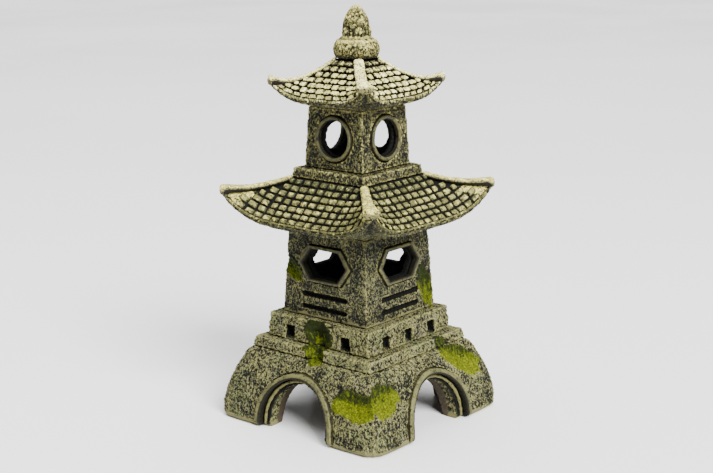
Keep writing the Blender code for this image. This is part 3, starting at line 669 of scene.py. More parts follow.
@dataclass(frozen=True)
class StonePaint:
    """Cast resin painted as pitted stone: khaki skin, near-black pits, moss-green hollows."""

    name: str = "cast_resin_pitted_stone_paint"
    granite: Granite = field(default_factory=Granite)
    skin: str = "#67643f"
    green_skin: str = "#575f3c"
    grey_skin: str = "#5a584a"
    worn: str = "#868251"
    pit: str = "#0a0b08"
    dip: str = "#35372a"
    wash: str = "#1e1c14"
    band: str = "#66623f"
    moss_light: str = "#747a00"
    moss_mid: str = "#454f00"
    moss_dark: str = "#1a2200"
    raw: str = "#40382c"
    ridge_share: float = 0.40
    edge_share: float = 0.85
    pits_lost_on_edges: float = 0.55
    dip_height: float = 0.4
    grain_height: float = 0.5
    streak_height: float = 2.4
    streak_size: float = 1.3
    blots: tuple = ((16.0, 2.0), (5.0, 2.0), (1.6, 2.0), (0.45, 3.0), (0.8, 2.0))
    sheen: float = 0.14

    def make(self) -> Material:
        """Mix the paint.

        Returns:
            The material.
        """
        marks = (Mark.BAND, Mark.CREST, Mark.MOSS, Mark.RECESS, Mark.CRACK, Mark.INSIDE, Mark.SHADE)
        paint = Palette(self.name, self.sheen, marks, self.blots)
        band, crest, moss, recess, crack, inside, shade = paint.measures
        broad, patch, dust, grain, crumb = paint.patterns
        tree = paint.tree
        pits, dips, ridges = self.granite.pits(tree, paint.place)
        links = {"Value": dust, "From Min": 0.30, "From Max": 0.70, "To Min": -0.10, "To Max": 0.22}
        dusty = add_node(tree, links=links, **SOFT_RANGE)
        edge = add_node(tree, links={0: crest, 1: dusty}, **TOTAL)
        links = {"Value": edge, "From Min": 0.08, "From Max": 0.34, "To Max": self.edge_share}
        edge = add_node(tree, links=links, **SOFT_RANGE)
        kept = add_node(tree, links={0: edge, 1: -self.pits_lost_on_edges, 2: 1.0}, **PRODUCT_AND_SUM)
        bare = add_node(tree, links={0: 1.0, 1: band}, use_clamp=True, **DIFFERENCE)
        kept = add_node(tree, links={0: kept, 1: bare}, **PRODUCT)
        shallow = add_node(tree, links={0: dips, 1: kept}, **PRODUCT)
        shown = add_node(tree, links={0: pits, 1: kept}, **PRODUCT)
        dark = add_node(tree, links={0: recess, 1: crack}, **GREATER)
        stretched = {0: paint.place, 1: (1.0, 1.0, 0.4)}
        streak_place = add_node(tree, "ShaderNodeVectorMath", stretched, operation="MULTIPLY")
        links = {"Vector": streak_place, "Scale": 1 / (self.streak_size * MM), "Detail": 3.0}
        streak = add_node(tree, links=links, **NOISE)
        ragged = add_node(tree, links={0: dust, 1: 0.5, 2: moss}, **PRODUCT_AND_SUM)
        colour = paint.brush(
            self.skin,
            Coat(self.green_skin, broad, 0.40, 0.62),
            Coat(self.grey_skin, patch, 0.50, 0.66),
            Coat(self.worn, ridges, 0.0, 1.0, self.ridge_share),
            Coat(self.wash, crest, -0.04, -0.30, 0.8),
            Coat(self.worn, edge),
            Coat(self.band, band),
            Coat(self.dip, shallow),
            Coat(self.pit, shown),
            # Pit black also goes in the openings, the cracks and under the hollows' upper rims: black paint,
            # with painted shade deep in the openings and under the rims
            Coat(self.pit, dark),
            Coat(self.raw, inside),
            # The hollows' green, made lighter and darker by the stored painted light and shade
            Coat(self.green(paint, streak, crumb, shade), ragged, 0.68, 0.80),
        )
        depth = add_node(tree, links={0: shallow, 1: self.dip_height, 2: shown}, **PRODUCT_AND_SUM)
        grain = add_node(tree, links={0: grain, 1: self.grain_height}, **PRODUCT)
        height = add_node(tree, links={0: grain, 1: depth}, **DIFFERENCE)
        combed = add_node(tree, links={0: streak, 1: moss}, **PRODUCT)
        height = add_node(tree, links={0: combed, 1: self.streak_height, 2: height}, **PRODUCT_AND_SUM)
        return paint.finish(colour, (dust, 0.62, 0.84), (height, 0.30, 0.9))

    def green(self, paint: Palette, streak: Socket, crumb: Socket, shade: Socket) -> Socket:
        """Mix the green of the hollows: dark, middle and light, in streaks and crumbs.

        Args:
            paint: the material that it is mixed for.
            streak: the brush marks.
            crumb: the crumbs.
            shade: its painted light and shade.

        Returns:
            Its colour.
        """
        both = (streak, crumb)
        lit, crumbs = (add_node(paint.tree, links={0: pattern, 1: shade}, **TOTAL) for pattern in both)
        coats = Coat(self.moss_mid, lit, 0.34, 0.56), Coat(self.moss_light, crumbs, 0.44, 0.80)
        return paint.brush(self.moss_dark, *coats)


@dataclass(frozen=True)
class MouldingPaint:
    """Cast resin moulding rubbed smooth: khaki with a dark wash left in its corners."""

    name: str = "cast_resin_smooth_moulding_paint"
    skin: str = "#4f4d30"
    dull: str = "#38392a"
    wash: str = "#0d0c08"
    worn: str = "#6d693f"
    sheen: float = 0.14

    def make(self) -> Material:
        """Mix the paint.

        Returns:
            The material.
        """
        paint = Palette(self.name, self.sheen, (Mark.CREST, Mark.RECESS), ((4.0, 2.0), (1.1, 3.0)))
        crest, grime = paint.measures
        blot, dust = paint.patterns
        colour = paint.brush(
            self.dull,
            Coat(self.skin, blot, 0.38, 0.64),
            Coat(self.worn, crest, 0.05, 0.30, 0.7),
            Coat(self.wash, dust, 0.44, 0.36, 0.85),
            Coat(self.wash, grime),
        )
        return paint.finish(colour, (blot, 0.55, 0.75), (dust, 0.3, 0.8))


@dataclass(frozen=True)
class TilePaint:
    """Cast resin tiles dry-brushed with cream over a black-brown wash."""

    name: str = "cast_resin_dry_brushed_tile_paint"
    wash: str = "#0f0d08"
    rim: str = "#3c3e24"
    mid: str = "#56542f"
    cream: str = "#89844e"
    bright: str = "#c8c070"
    body_from: float = 1.36
    body_edge: float = 0.22
    bright_share: float = 0.7
    sheen: float = 0.14

    def make(self) -> Material:
        """Mix the paint.

        Returns:
            The material.
        """
        paint = Palette(self.name, self.sheen, (Mark.RISE, Mark.TONE), ((0.9, 3.0), (3.0, 2.0), (0.75, 2.0)))
        rise, tone = paint.measures
        dust, blush, pit = paint.patterns
        height = add_node(paint.tree, links={0: dust, 1: 1.2, 2: rise}, **PRODUCT_AND_SUM)
        blushed = Coat(self.bright, blush, 0.50, 0.66, self.bright_share)
        body = paint.brush(self.mid, Coat(self.cream, tone), blushed)
        colour = paint.brush(
            self.wash,
            Coat(self.rim, height, 1.04, 1.26),
            Coat(body, height, self.body_from, self.body_from + self.body_edge),
            Coat(self.wash, pit, 0.42, 0.36, 0.9),
        )
        return paint.finish(colour, (dust, 0.6, 0.8), (dust, 0.2, 0.6))


@dataclass(frozen=True)
class RidgePaint:
    """Cast resin ridge caps: thick cream dry-brushing over fine dark pits."""

    name: str = "cast_resin_cream_ridge_paint"
    wash: str = "#14110a"
    cream: str = "#a59e58"
    bright: str = "#f0e57c"
    khaki: str = "#6b6741"
    sheen: float = 0.14

    def make(self) -> Material:
        """Mix the paint.

        Returns:
            The material.
        """
        paint = Palette(self.name, self.sheen, (Mark.RISE,), ((2.4, 3.0), (0.8, 2.0)))
        (rise,) = paint.measures
        blot, dust = paint.patterns
        spread = add_node(paint.tree, links={0: rise, 1: 0.08, 2: dust}, **PRODUCT_AND_SUM)
        colour = paint.brush(
            self.cream,
            Coat(self.bright, blot, 0.44, 0.66),
            # Low on the cap, on its lower sides and on tip faces that turn down, it goes khaki and then
            # near-black: partly the cap's own paint, partly painted shade
            Coat(self.khaki, rise, 0.88, 0.62),
            Coat(self.wash, spread, 0.54, 0.48, 0.95),
            Coat(self.wash, rise, 0.56, 0.48),
        )
        return paint.finish(colour, (blot, 0.6, 0.78), (dust, 0.25, 0.8))


@dataclass(frozen=True)
class FloorPaint:
    """Satin white laminate that mirrors what stands on it a little."""

    name: str = "satin_white_laminate"
    dim: str = "#f4f4f4"
    pale: str = "#f8f8f8"
    cloud_size: float = 400.0
    sheen: float = 0.5

    def make(self) -> Material:
        """Mix the laminate.

        Returns:
            The material.
        """
        paint = Palette(self.name, self.sheen, blots=((self.cloud_size, 2.0),))
        (cloud,) = paint.patterns
        return paint.finish(paint.brush(self.dim, Coat(self.pale, cloud)), (cloud, 0.16, 0.2))


# Shapes shared with the solids


@dataclass(frozen=True)
class Faces:
    """Half widths of the object's outside: the base's swell, and the straight courses and walls on it."""

    base_height: float = 36.8
    base_foot: float = 52.8
    base_top: float = 39.6
    bulge_height_power: float = 1.7
    bulge_width_power: float = 0.714
    courses: tuple = (
        (37.1, 42.1, 39.2, 38.1),
        (42.4, 54.7, 33.6, 32.6),
        (55.0, 98.2, 27.85, 25.4),
        (129.9, 159.9, 19.2, 17.6),
    )

    def half(self, height: Points) -> Points:
        """Half width of the outside at each height.

        Args:
            height: the heights.

        Returns:
            The half widths, in millimetres.
        """
        height = np.asarray(height, dtype=float)
        share = np.clip(height / self.base_height, 0.0, 1.0)
        swell = (1.0 - share ** self.bulge_height_power) ** self.bulge_width_power
        half = self.base_top + (self.base_foot - self.base_top) * swell
        for bottom, top, low, high in self.courses:
            inside = (height >= bottom - 0.15) & (height <= top + 0.15)
            half = np.where(inside, low + (high - low) * (height - bottom) / (top - bottom), half)
        return half


@dataclass(frozen=True)
class Hollow:
    """A broken hollow: a ragged lens that bites into one face.

    The values are those of the solids: the side, the place across it and the height, half
    length, half width and depth of the bite, and its turn in degrees. Light is the painted light
    on its green, and fall the painted shade that darkens its upper part.
    """

    number: int
    side: int
    across: float
    height: float
    half_long: float
    half_wide: float
    depth: float
    turn: float
    light: float = 0.0
    fall: float = 0.0
    lift: float = 0.45
    raggedness: float = 0.10

    def level(self, points: Points, faces: Faces) -> tuple[Points, Points]:
        """Where points lie in the lens.

        Args:
            points: the points, in millimetres.
            faces: the object's outside.

        Returns:
            Each point's level, 1 on the lens's skin and less inside it, and its height in the
            lens, from -1 to 1.
        """
        local = side_points(points, self.side)
        face = float(faces.half(self.height))
        slope = float(faces.half(self.height - 1.0)) - float(faces.half(self.height + 1.0))
        lean = math.atan2(slope, 2.0)
        leaning = Matrix.Rotation(-lean, 3, "X") @ Matrix.Rotation(-math.radians(self.turn), 3, "Y")
        local = (local - np.array([self.across, -face, self.height])) @ np.array(leaning)
        fuller = 1.0 / math.sqrt(1.0 - self.lift ** 2)
        deep = self.depth / (1.0 - self.lift)
        long_way = local[:, 0] / (self.half_long * fuller)
        wide_way = local[:, 2] / (self.half_wide * fuller)
        around = np.arctan2(wide_way, long_way)
        reach = 1.0 + self.raggedness / 2 * (
            np.sin(4 * around + 1.7 * self.number) + np.sin(7 * around - 2.3 * self.number)
        )
        deep_way = local[:, 1] / deep + self.lift
        level = np.sqrt((long_way / reach) ** 2 + (wide_way / reach) ** 2 + deep_way ** 2)
        upward = math.sin(math.radians(self.turn)) * long_way + math.cos(math.radians(self.turn)) * wide_way
        return level, upward


# The last two numbers of each are the painted light on its green and the painted shade on its upper part
SHOWN_HOLLOWS = (
    Hollow(0, 0, 38.0, 22.8, 13.6, 6.4, 3.4, 0, 0.04, 0.02),
    Hollow(1, 1, -39.0, 25.4, 10.6, 7.6, 3.4, 8, 0.04, 0.03),
    Hollow(2, 1, 27.0, 30.6, 17.0, 6.6, 3.0, -41, 0.05, 0.02),
    Hollow(3, 0, 0.4, 48.6, 8.8, 7.4, 3.6, -50, -0.21, 0.12),
    Hollow(4, 0, 2.6, 40.4, 6.2, 4.8, 4.6, -30, -0.06, 0.04),
    Hollow(5, 0, -22.6, 78.8, 8.0, 3.8, 2.2, -40, -0.06, 0.05),
    Hollow(6, 1, 20.8, 67.4, 10.2, 4.8, 2.3, 108, -0.08, 0.10),
)
# The back and the left side repeat them but for the one on the front wall's edge; the last one is mirrored
HOLLOWS = SHOWN_HOLLOWS + tuple(
    replace(shown, number=len(SHOWN_HOLLOWS) + order, side=shown.side + 2)
    for order, shown in enumerate(SHOWN_HOLLOWS[:5])
) + (replace(SHOWN_HOLLOWS[6], number=12, side=3, across=-20.8, turn=72),)


@dataclass(frozen=True)
class Crack:
    """A thin break in one face, along a line of (across, height) points."""

    side: int
    line: tuple
    half_width: float = 0.45

    def share(self, points: Points, faces: Faces) -> Points:
        """How much of each point lies in the crack.

        Args:
            points: the points.
            faces: the outside.

        Returns:
            The shares.
        """
        local = side_points(points, self.side)
        flat = local[:, (0, 2)]
        nearest = np.full(len(points), np.inf)
        for start, end in zip(self.line, self.line[1:]):
            start, end = np.array(start, dtype=float), np.array(end, dtype=float)
            way = end - start
            share = np.clip(((flat - start) @ way) / (way @ way), 0.0, 1.0)
            gap = flat - (start + share[:, None] * way)
            nearest = np.minimum(nearest, np.hypot(gap[:, 0], gap[:, 1]))
        shallow = (-local[:, 1] > faces.half(local[:, 2]) - 2.5) & (off_side(local) < 0.5)
        return np.where(shallow, soft_step(1.4 * self.half_width, 0.4 * self.half_width, nearest), 0.0)


def off_side(local: Points) -> Points:
    """0 for points on the front face's own quarter of the object, 1 for the others."""
    return (np.abs(local[:, 0]) > -local[:, 1] + 1.0).astype(float)


SHOWN_CRACKS = (
    Crack(1, ((19.8, 59.0), (19.2, 57.0), (19.9, 55.2))),
    Crack(1, ((19.4, 54.7), (18.8, 52.5), (19.6, 50.6))),
    Crack(0, ((-16.6, 75.0), (-15.2, 72.2), (-15.4, 70.2))),
    Crack(0, ((6.2, 53.0), (9.0, 53.6), (10.4, 55.2)), 0.6),
    Crack(0, ((-3.0, 37.6), (-1.5, 36.0), (-0.4, 34.0)), 0.5),
    Crack(0, ((25.0, 27.0), (26.0, 28.5), (24.6, 29.6)), 0.7),
    Crack(1, ((-29.6, 28.6), (-28.2, 30.0), (-26.6, 30.2)), 0.5),
    Crack(1, ((-36.0, 33.0), (-35.0, 35.0)), 0.5),
    Crack(1, ((40.6, 21.0), (42.4, 18.6)), 0.5),
)
CRACKS = SHOWN_CRACKS + (replace(SHOWN_CRACKS[0], side=3), replace(SHOWN_CRACKS[3], side=2))


@dataclass(frozen=True)
class Window:
    """The windows of one storey, cut through the middle of each wall."""

    outline: Outline
    middle: float
    half_wide: float
    half_tall: float
    narrowing: float
    groove_reach: float = 0.0
    cut_corners: float = 0.38
    sill_depth: float = 2.3
    sill_edge: float = 0.6
    drawn_from: float = 1.28
    drawn_fully: float = 1.08
    faces: Faces = field(default_factory=Faces)

    def reach(self, local: Points) -> Points:
        """How far out points of the front side lie from a window's middle, 1 on its outline.

        Args:
            local: points turned to the front.

        Returns:
            The distances.
        """
        wide, tall = np.abs(local[:, 0]) / self.half_wide, np.abs(local[:, 2] - self.middle) / self.half_tall
        if self.outline is Outline.ROUND:
            return np.hypot(wide, tall)
        return np.maximum(tall, wide + self.cut_corners * tall)

    def tighten(self, piece: Piece) -> None:
        """Draw the walls in towards the windows' middles, behind the mouldings.

        Args:
            piece: the piece's mesh object.
        """
        points = points_of(piece)
        for side in range(len(SIDES)):
            local = side_points(points, side)
            here = -local[:, 1] >= np.abs(local[:, 0])
            depth = self.faces.half(local[:, 2]) + local[:, 1]
            share = here * soft_step(self.sill_depth, self.sill_depth + self.sill_edge, depth)
            near = soft_step(self.drawn_from, self.drawn_fully, self.reach(local))
            share = self.narrowing * share * near
            local[:, 0] *= 1.0 - share
            local[:, 2] -= (local[:, 2] - self.middle) * share
            points = side_points(local, -side)
        move_points(piece, points)

    def groove(self, piece: Piece, side: int) -> Points:
        """How dark the inner half of a moulding is, where the wash has gathered.

        Args:
            piece: the moulding.
            side: the number of its side.

        Returns:
            The darkness.
        """
        reach = self.reach(side_points(points_of(piece), side))
        return 0.9 * soft_step(self.groove_reach, self.groove_reach - 0.06, reach)


@dataclass
class StonePiece:
    """A pitted stone piece made from one or several of the solids.

    Args:
        name: the piece's name.
        nodes: the nodes that it stands for.
        wall: how thick the painted skin is before the raw inside begins, in millimetres.
        band: height up to which the foot is smooth and free of pits.
        rounded: whether the foot and the corners are rounded off.
        recess: the depths between which openings are painted black, or None: black paint in the holes and
            slots, and painted shade deeper inside.
        grid: distance between the mesh's points.
        fuse: how far neighbours are grown together.
        melted: how often the broken hollows are smoothed.
        broken_depth: how deep they reach.
        window: the windows whose walls are drawn in, or None.
        top_seam: how far the top of such walls rises to the roof on them.
        border_blots: size and reach of the ragged steps in a hollow's border.
        band_blots: size and reach of the ragged steps in the foot band's border.
        near_level: the level in a hollow's lens up to which its border is looked for.
        green_edge: the levels between which its green begins.
        rim_outer: the levels between which its rim begins.
        rim_inner: the levels between which the rim ends.
        rim_shade: the painted shade on the green under an upper rim.
        lower_rim_highlight: the painted highlight along a hollow's lower rim, laid on as a raised crest.
        rim_darkness: how dark the shadow under a hollow's upper rim is.
    """

    name: str
    nodes: Sequence[str]
    wall: float
    band: float = -1.0
    rounded: bool = False
    recess: tuple[float, float, float, float] | None = None
    grid: float = 0.6
    fuse: float = 0.0
    melted: int = 0
    broken_depth: float = 6.0
    window: Window | None = None
    top_seam: float = 0.45
    border_blots: tuple = ((3.4, 0.22), (1.4, 0.14))
    band_blots: tuple = ((6.0, 1.3), (1.8, 0.8))
    near_level: float = 1.6
    green_edge: tuple[float, float] = (1.16, 1.04)
    rim_outer: tuple[float, float] = (1.24, 1.14)
    rim_inner: tuple[float, float] = (0.98, 1.06)
    rim_shade: float = 0.15
    lower_rim_highlight: float = 0.35
    rim_darkness: float = 0.8
    faces: Faces = field(default_factory=Faces)

    def build(self, relief: Relief, material: Material) -> Piece:
        """Model the piece.

        Args:
            relief: the pits to press into it.
            material: its paint.

        Returns:
            The finished piece.
        """
        piece = copy_nodes(self.name, self.nodes)
        remesh(piece, self.grid, self.fuse)
        if self.window is not None:
            self.window.tighten(piece)
            self.close_top(piece)
        broken = self.melt(piece) if self.melted else 0.0
        self.measure(piece, broken)
        if self.rounded:
            Foot().round_off(piece)
        relief.press(piece)
        return bed_piece(piece, Slot.STONE, material, self.nodes)

    def close_top(self, piece: Piece) -> None:
        """Raise the top of the walls to the roof that rests on them.

        Args:
            piece: the piece's mesh object.
        """
        points = points_of(piece)
        points[:, 2] += self.top_seam * (points[:, 2] > points[:, 2].max() - 0.4)
        move_points(piece, points)

    def melt(self, piece: Piece) -> Points:
        """Smooth the inside of the broken hollows, which swallow what was cut there before.

        Args:
            piece: the piece's mesh object.

        Returns:
            How much of each point lies in a hollow.
        """
        points = points_of(piece)
        weight = np.zeros(len(points))
        for hollow in HOLLOWS:
            local = side_points(points, hollow.side)
            depth = self.faces.half(local[:, 2]) + local[:, 1]
            local[:, 1] -= depth
            level, _ = hollow.level(side_points(local, -hollow.side), self.faces)
            weight = np.maximum(weight, soft_step(1.0, 0.9, level) * (np.abs(depth) < self.broken_depth))
        weight *= points[:, 2] < points[:, 2].max() - 1.0
        broken = piece.vertex_groups.new(name="broken")
        for index in np.flatnonzero(weight):
            broken.add([int(index)], float(weight[index]), "REPLACE")
        apply_modifier(piece, "SMOOTH", factor=0.5, iterations=self.melted, vertex_group="broken")
        piece.vertex_groups.clear()
        return weight

    def measure(self, piece: Piece, broken: Points | float) -> None:
        """Store what the relief and the paint need to know about each point.

        Args:
            piece: the piece's mesh object.
            broken: the least share of moss on each point.
        """
        points = points_of(piece)
        crest = crest_of(piece)
        depth = self.faces.half(points[:, 2]) - np.abs(points[:, :2]).max(axis=1)
        moss, shade, rim = self.hollow_shares(points, crest)
        moss = np.maximum(moss, broken)
        crack = np.max([line.share(points, self.faces) for line in CRACKS], axis=0)
        upright = soft_step(0.95, 0.8, np.abs(normals_of(piece)[:, 2]))
        store(piece, Mark.BAND, self.band_share(points))
        store(piece, Mark.CREST, crest)
        store(piece, Mark.MOSS, moss)
        store(piece, Mark.SHADE, shade)
        store(piece, Mark.CRACK, np.maximum(crack, self.rim_darkness * rim))
        store(piece, Mark.INSIDE, soft_step(self.wall - 0.8, self.wall, depth) * upright * (1.0 - moss))
        store(piece, Mark.RECESS, self.opening_share(points, depth) * (1.0 - moss))

    def hollow_shares(self, points: Points, crest: Points) -> tuple[Points, Points, Points]:
        """Find the green of the broken hollows and the shadow under their ragged upper rims.

        Args:
            points: the piece's points.
            crest: how far they stand proud, which is raised on the hollows' lower rims for a painted
                highlight.

        Returns:
            How green each point is, the painted light and shade on its green, and how much it lies on an
            upper rim.
        """
        moss, shade, rim = (np.zeros(len(points)) for _ in range(3))
        for hollow in HOLLOWS:
            level, upward = hollow.level(points, self.faces)
            near = np.flatnonzero(level < self.near_level)
            wander = sum(reach * ragged_noise(points[near], size) for size, reach in self.border_blots)
            level[near] += wander * soft_step(1.0, 1.07, level[near])
            share = soft_step(*self.green_edge, level)
            here = share > moss
            # Painted shade on the green under an upper rim
            under_rim = soft_step(-0.1, 0.6, upward) * soft_step(0.60, 1.0, level)
            shade = np.where(here, hollow.light - hollow.fall * upward - self.rim_shade * under_rim, shade)
            moss = np.maximum(moss, share)
            edge = soft_step(*self.rim_inner, level) * soft_step(*self.rim_outer, level)
            ragged = upward + 1.4 * ragged_noise_at(points, near, 1.8)
            rim = np.maximum(rim, edge * soft_step(0.0, 0.6, ragged))
            # A painted highlight along the lower rim, laid on as a raised crest
            crest += self.lower_rim_highlight * edge * soft_step(0.0, -0.5, upward)
        return moss, shade, rim

    def opening_share(self, points: Points, depth: Points) -> Points:
        """Find the walls of openings, which are painted black: black paint in the holes and slots, and
        painted shade deeper inside.

        Args:
            points: the piece's points.
            depth: how deep they lie behind the outside.

        Returns:
            How much each point lies in an opening.
        """
        if self.recess is None:
            return np.zeros(len(points))
        start, full, stay, end = self.recess
        height = points[:, 2]
        between = (height < height.max() - 1.0) & (height > height.min() + 1.0)
        return soft_step(start, full, depth) * soft_step(end, stay, depth) * between

    def band_share(self, points: Points) -> Points:
        """Find the smooth, pale band at the foot, which ends in a ragged line.

        Args:
            points: the piece's points.

        Returns:
            How much each point lies in the band.
        """
        share = np.zeros(len(points))
        if self.band > 0:
            low = np.flatnonzero(points[:, 2] < self.band + 3.0)
            waves = (reach * ragged_noise(points[low], size) for size, reach in self.band_blots)
            share[low] = soft_step(self.band + 0.35, self.band - 0.35, sum(waves, points[low, 2]))
        return share


@dataclass
class Base:
    """The bulging base: the fused feet, and the mouldings round the arches."""

    wall: float = 9.5
    band: float = 2.6
    recess: tuple[float, float, float, float] = (1.2, 2.0, 3.6, 4.6)
    grid: float = 0.62
    fuse: float = 0.2
    ring_grid: float = 0.45
    foot_sink: float = 1.3
    ring_inner_half: float = 22.3
    ring_inner_crown: float = 28.0
    lip_half: float = 20.7
    lip_crown: float = 26.6
    spring: float = 5.0
    lip_radius: float = 0.85
    lip_depth: float = 2.6
    lip_around: int = 8
    lip_along: int = 90
    lip_leg: float = 0.08
    lip_foot: float = 1.2
    lip_lump: float = 0.22
    lip_wash: float = 0.35
    faces: Faces = field(default_factory=Faces)

    def build(self, relief: Relief, smooth: Relief, stone: Material, moulding: Material) -> None:
        """Model the base.

        Args:
            relief: the pits of the stone.
            smooth: the slight relief of the mouldings.
            stone: the stone paint.
            moulding: the moulding paint.
        """
        feet = [f"foot_{corner}" for corner in CORNERS]
        base = StonePiece(
            "bulging_base", feet, wall=self.wall, band=self.band, rounded=True, recess=self.recess,
            grid=self.grid, fuse=self.fuse,
        )
        base.build(relief, stone)
        for side, name in enumerate(SIDES):
            ring = copy_nodes(f"{name}_arch_moulding", [f"{name}_arch_ring"])
            remesh(ring, self.ring_grid, smooth_rounds=5)
            dress_moulding(ring, groove=self.groove(ring, side))
            self.melt_foot(ring, side)
            Foot().round_off(ring)
            lip = self.lip(side)
            dress_moulding(lip, rooted=False, groove=self.lip_wash)
            ring = join_pieces(f"{name}_arch_moulding", [ring, lip])
            smooth.press(ring)
            bed_piece(ring, Slot.MOULDING, moulding, [f"{name}_arch_ring"])

    def groove(self, ring: Piece, side: int) -> Points:
        """How dark the inner edge of a ring is, where the wash has run along the opening.

        Args:
            ring: the ring round an arch.
            side: the number of its side.

        Returns:
            The darkness.
        """
        local = side_points(points_of(ring), side)
        rise = np.clip(local[:, 2] - self.spring, 0.0, None) / (self.ring_inner_crown - self.spring)
        reach = np.hypot(local[:, 0] / self.ring_inner_half, rise)
        return 0.95 * soft_step(1.055, 1.03, reach)

    def melt_foot(self, ring: Piece, side: int) -> None:
        """Sink the foot of a ring into the smooth band of the base.

        Args:
            ring: the ring round an arch.
            side: the number of its side.
        """
        points = points_of(ring)
        sunk = self.foot_sink * soft_step(4.6, 0.6, points[:, 2])
        turn = side * QUARTER_TURN
        points[:, 0] -= math.sin(turn) * sunk
        points[:, 1] += math.cos(turn) * sunk
        move_points(ring, points)

    def lip(self, side: int) -> Piece:
        """The thin, lumpy second moulding on the ledge behind one ring."""
        place = partial(self.lip_points, side)
        return mapped_ball(f"{SIDES[side]}_arch_lip", self.lip_around, self.lip_along, place)

    def lip_points(self, side: int, turn: Points, share: Points) -> Points:
        """Bend a ball along an arch: up one leg, over the crown and down the other leg.

        Args:
            side: the number of the arch's side.
            turn: turns round the moulding's own axis, in radians.
            share: shares from its one end to the other.

        Returns:
            The points.
        """
        angle = (share * (1.0 + 2 * self.lip_leg) - self.lip_leg) * math.pi
        leg = np.clip(-np.sin(angle), 0.0, None)
        on_leg, on_arch = leg > 0, leg == 0
        across = self.lip_half * np.where(on_leg, np.sign(np.cos(angle)), np.cos(angle))
        rise = (self.lip_crown - self.spring) * np.clip(np.sin(angle), 0.0, None)
        height = self.spring + rise - leg / math.sin(self.lip_leg * math.pi) * (self.spring - self.lip_foot)
        lump = 1.0 + self.lip_lump * np.sin(37 * share + side) * np.sin(61 * share + 2 * side)
        closing = np.sqrt(np.clip(1.0 - np.abs(2 * share - 1) ** 60, 0.0, 1.0))
        radius = self.lip_radius * lump * closing
        grow = radius * np.cos(turn)
        x = across + (np.cos(angle) * on_arch + np.sign(np.cos(angle)) * on_leg) * grow
        z = height + np.sin(angle) * on_arch * grow
        y = -(self.faces.half(z) - self.lip_depth) + radius * np.sin(turn)
        return side_points(np.stack([x, y, z], axis=1), -side)


@dataclass(frozen=True)
class Foot:
    """How the foot of the base is rounded: its band swells, its bottom edge and corners are blunt.

    The ranges go by the height, by the distance from the axis or, at the corners, by the share
    of the smaller of both half widths.
    """

    edge: float = 2.4
    edge_pull: float = 1.2
    outer: tuple[float, float] = (40.0, 46.0)
    swell: float = 0.5
    swell_start: tuple[float, float] = (0.4, 1.6)
    swell_end: tuple[float, float] = (5.0, 2.4)
    swell_side: tuple[float, float] = (0.97, 0.85)
    corner: tuple[float, float] = (0.88, 1.0)
    low_corner: tuple[float, float] = (7.0, 0.5)
    low_corner_pull: float = 0.7

    def round_off(self, piece: Piece) -> None:
        """Swell the foot band, and round off its bottom edge and the upright corners.

        Args:
            piece: the piece's mesh object.
        """
        points = points_of(piece)
        ways = np.abs(points[:, :2])
        out = ways.max(axis=1)
        corner = ways.min(axis=1) / np.maximum(out, 1.0)
        height = points[:, 2]
        low = np.clip((self.edge - height) / self.edge, 0.0, 1.0)
        swell = self.swell * soft_step(*self.swell_start, height) * soft_step(*self.swell_end, height)
        swell = swell * soft_step(*self.swell_side, corner)
        lower = 1.0 + self.low_corner_pull * soft_step(*self.low_corner, height)
        blunt = soft_step(*self.corner, corner) * lower
        pull = (self.edge_pull * low ** 2 + blunt - swell) * soft_step(*self.outer, out)
        points[:, :2] *= (1.0 - pull / np.maximum(out, 1.0))[:, None]
        move_points(piece, points)


def dress_moulding(piece: Piece, rooted: bool = True, groove: Points | float = 0.0) -> None:
    """Store the measures that the moulding paint reads.

    Args:
        piece: a moulding that stands proud of the faces.
        rooted: whether dark wash has gathered at its root and on its inner side.
        groove: the least dark wash on each point.
    """
    points = points_of(piece)
    store(piece, Mark.CREST, crest_of(piece, 8))
    grime = np.zeros(len(points))
    if rooted:
        proud = np.abs(points[:, :2]).max(axis=1) - Faces().half(points[:, 2])
        root = 0.95 * soft_step(0.75, 0.25, proud)
        inner = 0.55 + 0.4 * soft_step(-0.4, -1.8, proud)
        grime = np.where(proud > -0.2, root, inner)
    store(piece, Mark.RECESS, np.maximum(grime, groove))


@dataclass
class Courses:
    """The low step, the parapet with its square holes, and the collar of the upper storey."""

    grid: float = 0.6
    step_wall: float = 10.5
    parapet_wall: float = 9.6
    parapet_recess: tuple[float, float, float, float] = (1.0, 1.8, 7.0, 8.0)
    parapet_melted: int = 60
    collar_wall: float = 60.0

    def build(
        self,
        relief: Relief,
        upper_relief: Relief,
        stone: Material,
        upper_stone: Material,
    ) -> None:
        """Model the courses.

        Args:
            relief: the pits of the lower courses.
            upper_relief: the finer pits of the upper storey.
            stone: the paint of the lower courses.
            upper_stone: the darker paint of the upper storey, darker partly for painted shade.
        """
        step = StonePiece("lower_step_course", ["lower_step"], wall=self.step_wall, grid=self.grid)
        step.build(relief, stone)
        parapet = StonePiece(
            "parapet_course", ["parapet"], wall=self.parapet_wall, recess=self.parapet_recess, grid=self.grid,
            melted=self.parapet_melted,
        )
        parapet.build(relief, stone)
        collar = StonePiece("collar_course", ["collar"], wall=self.collar_wall, grid=self.grid)
        collar.build(upper_relief, upper_stone)


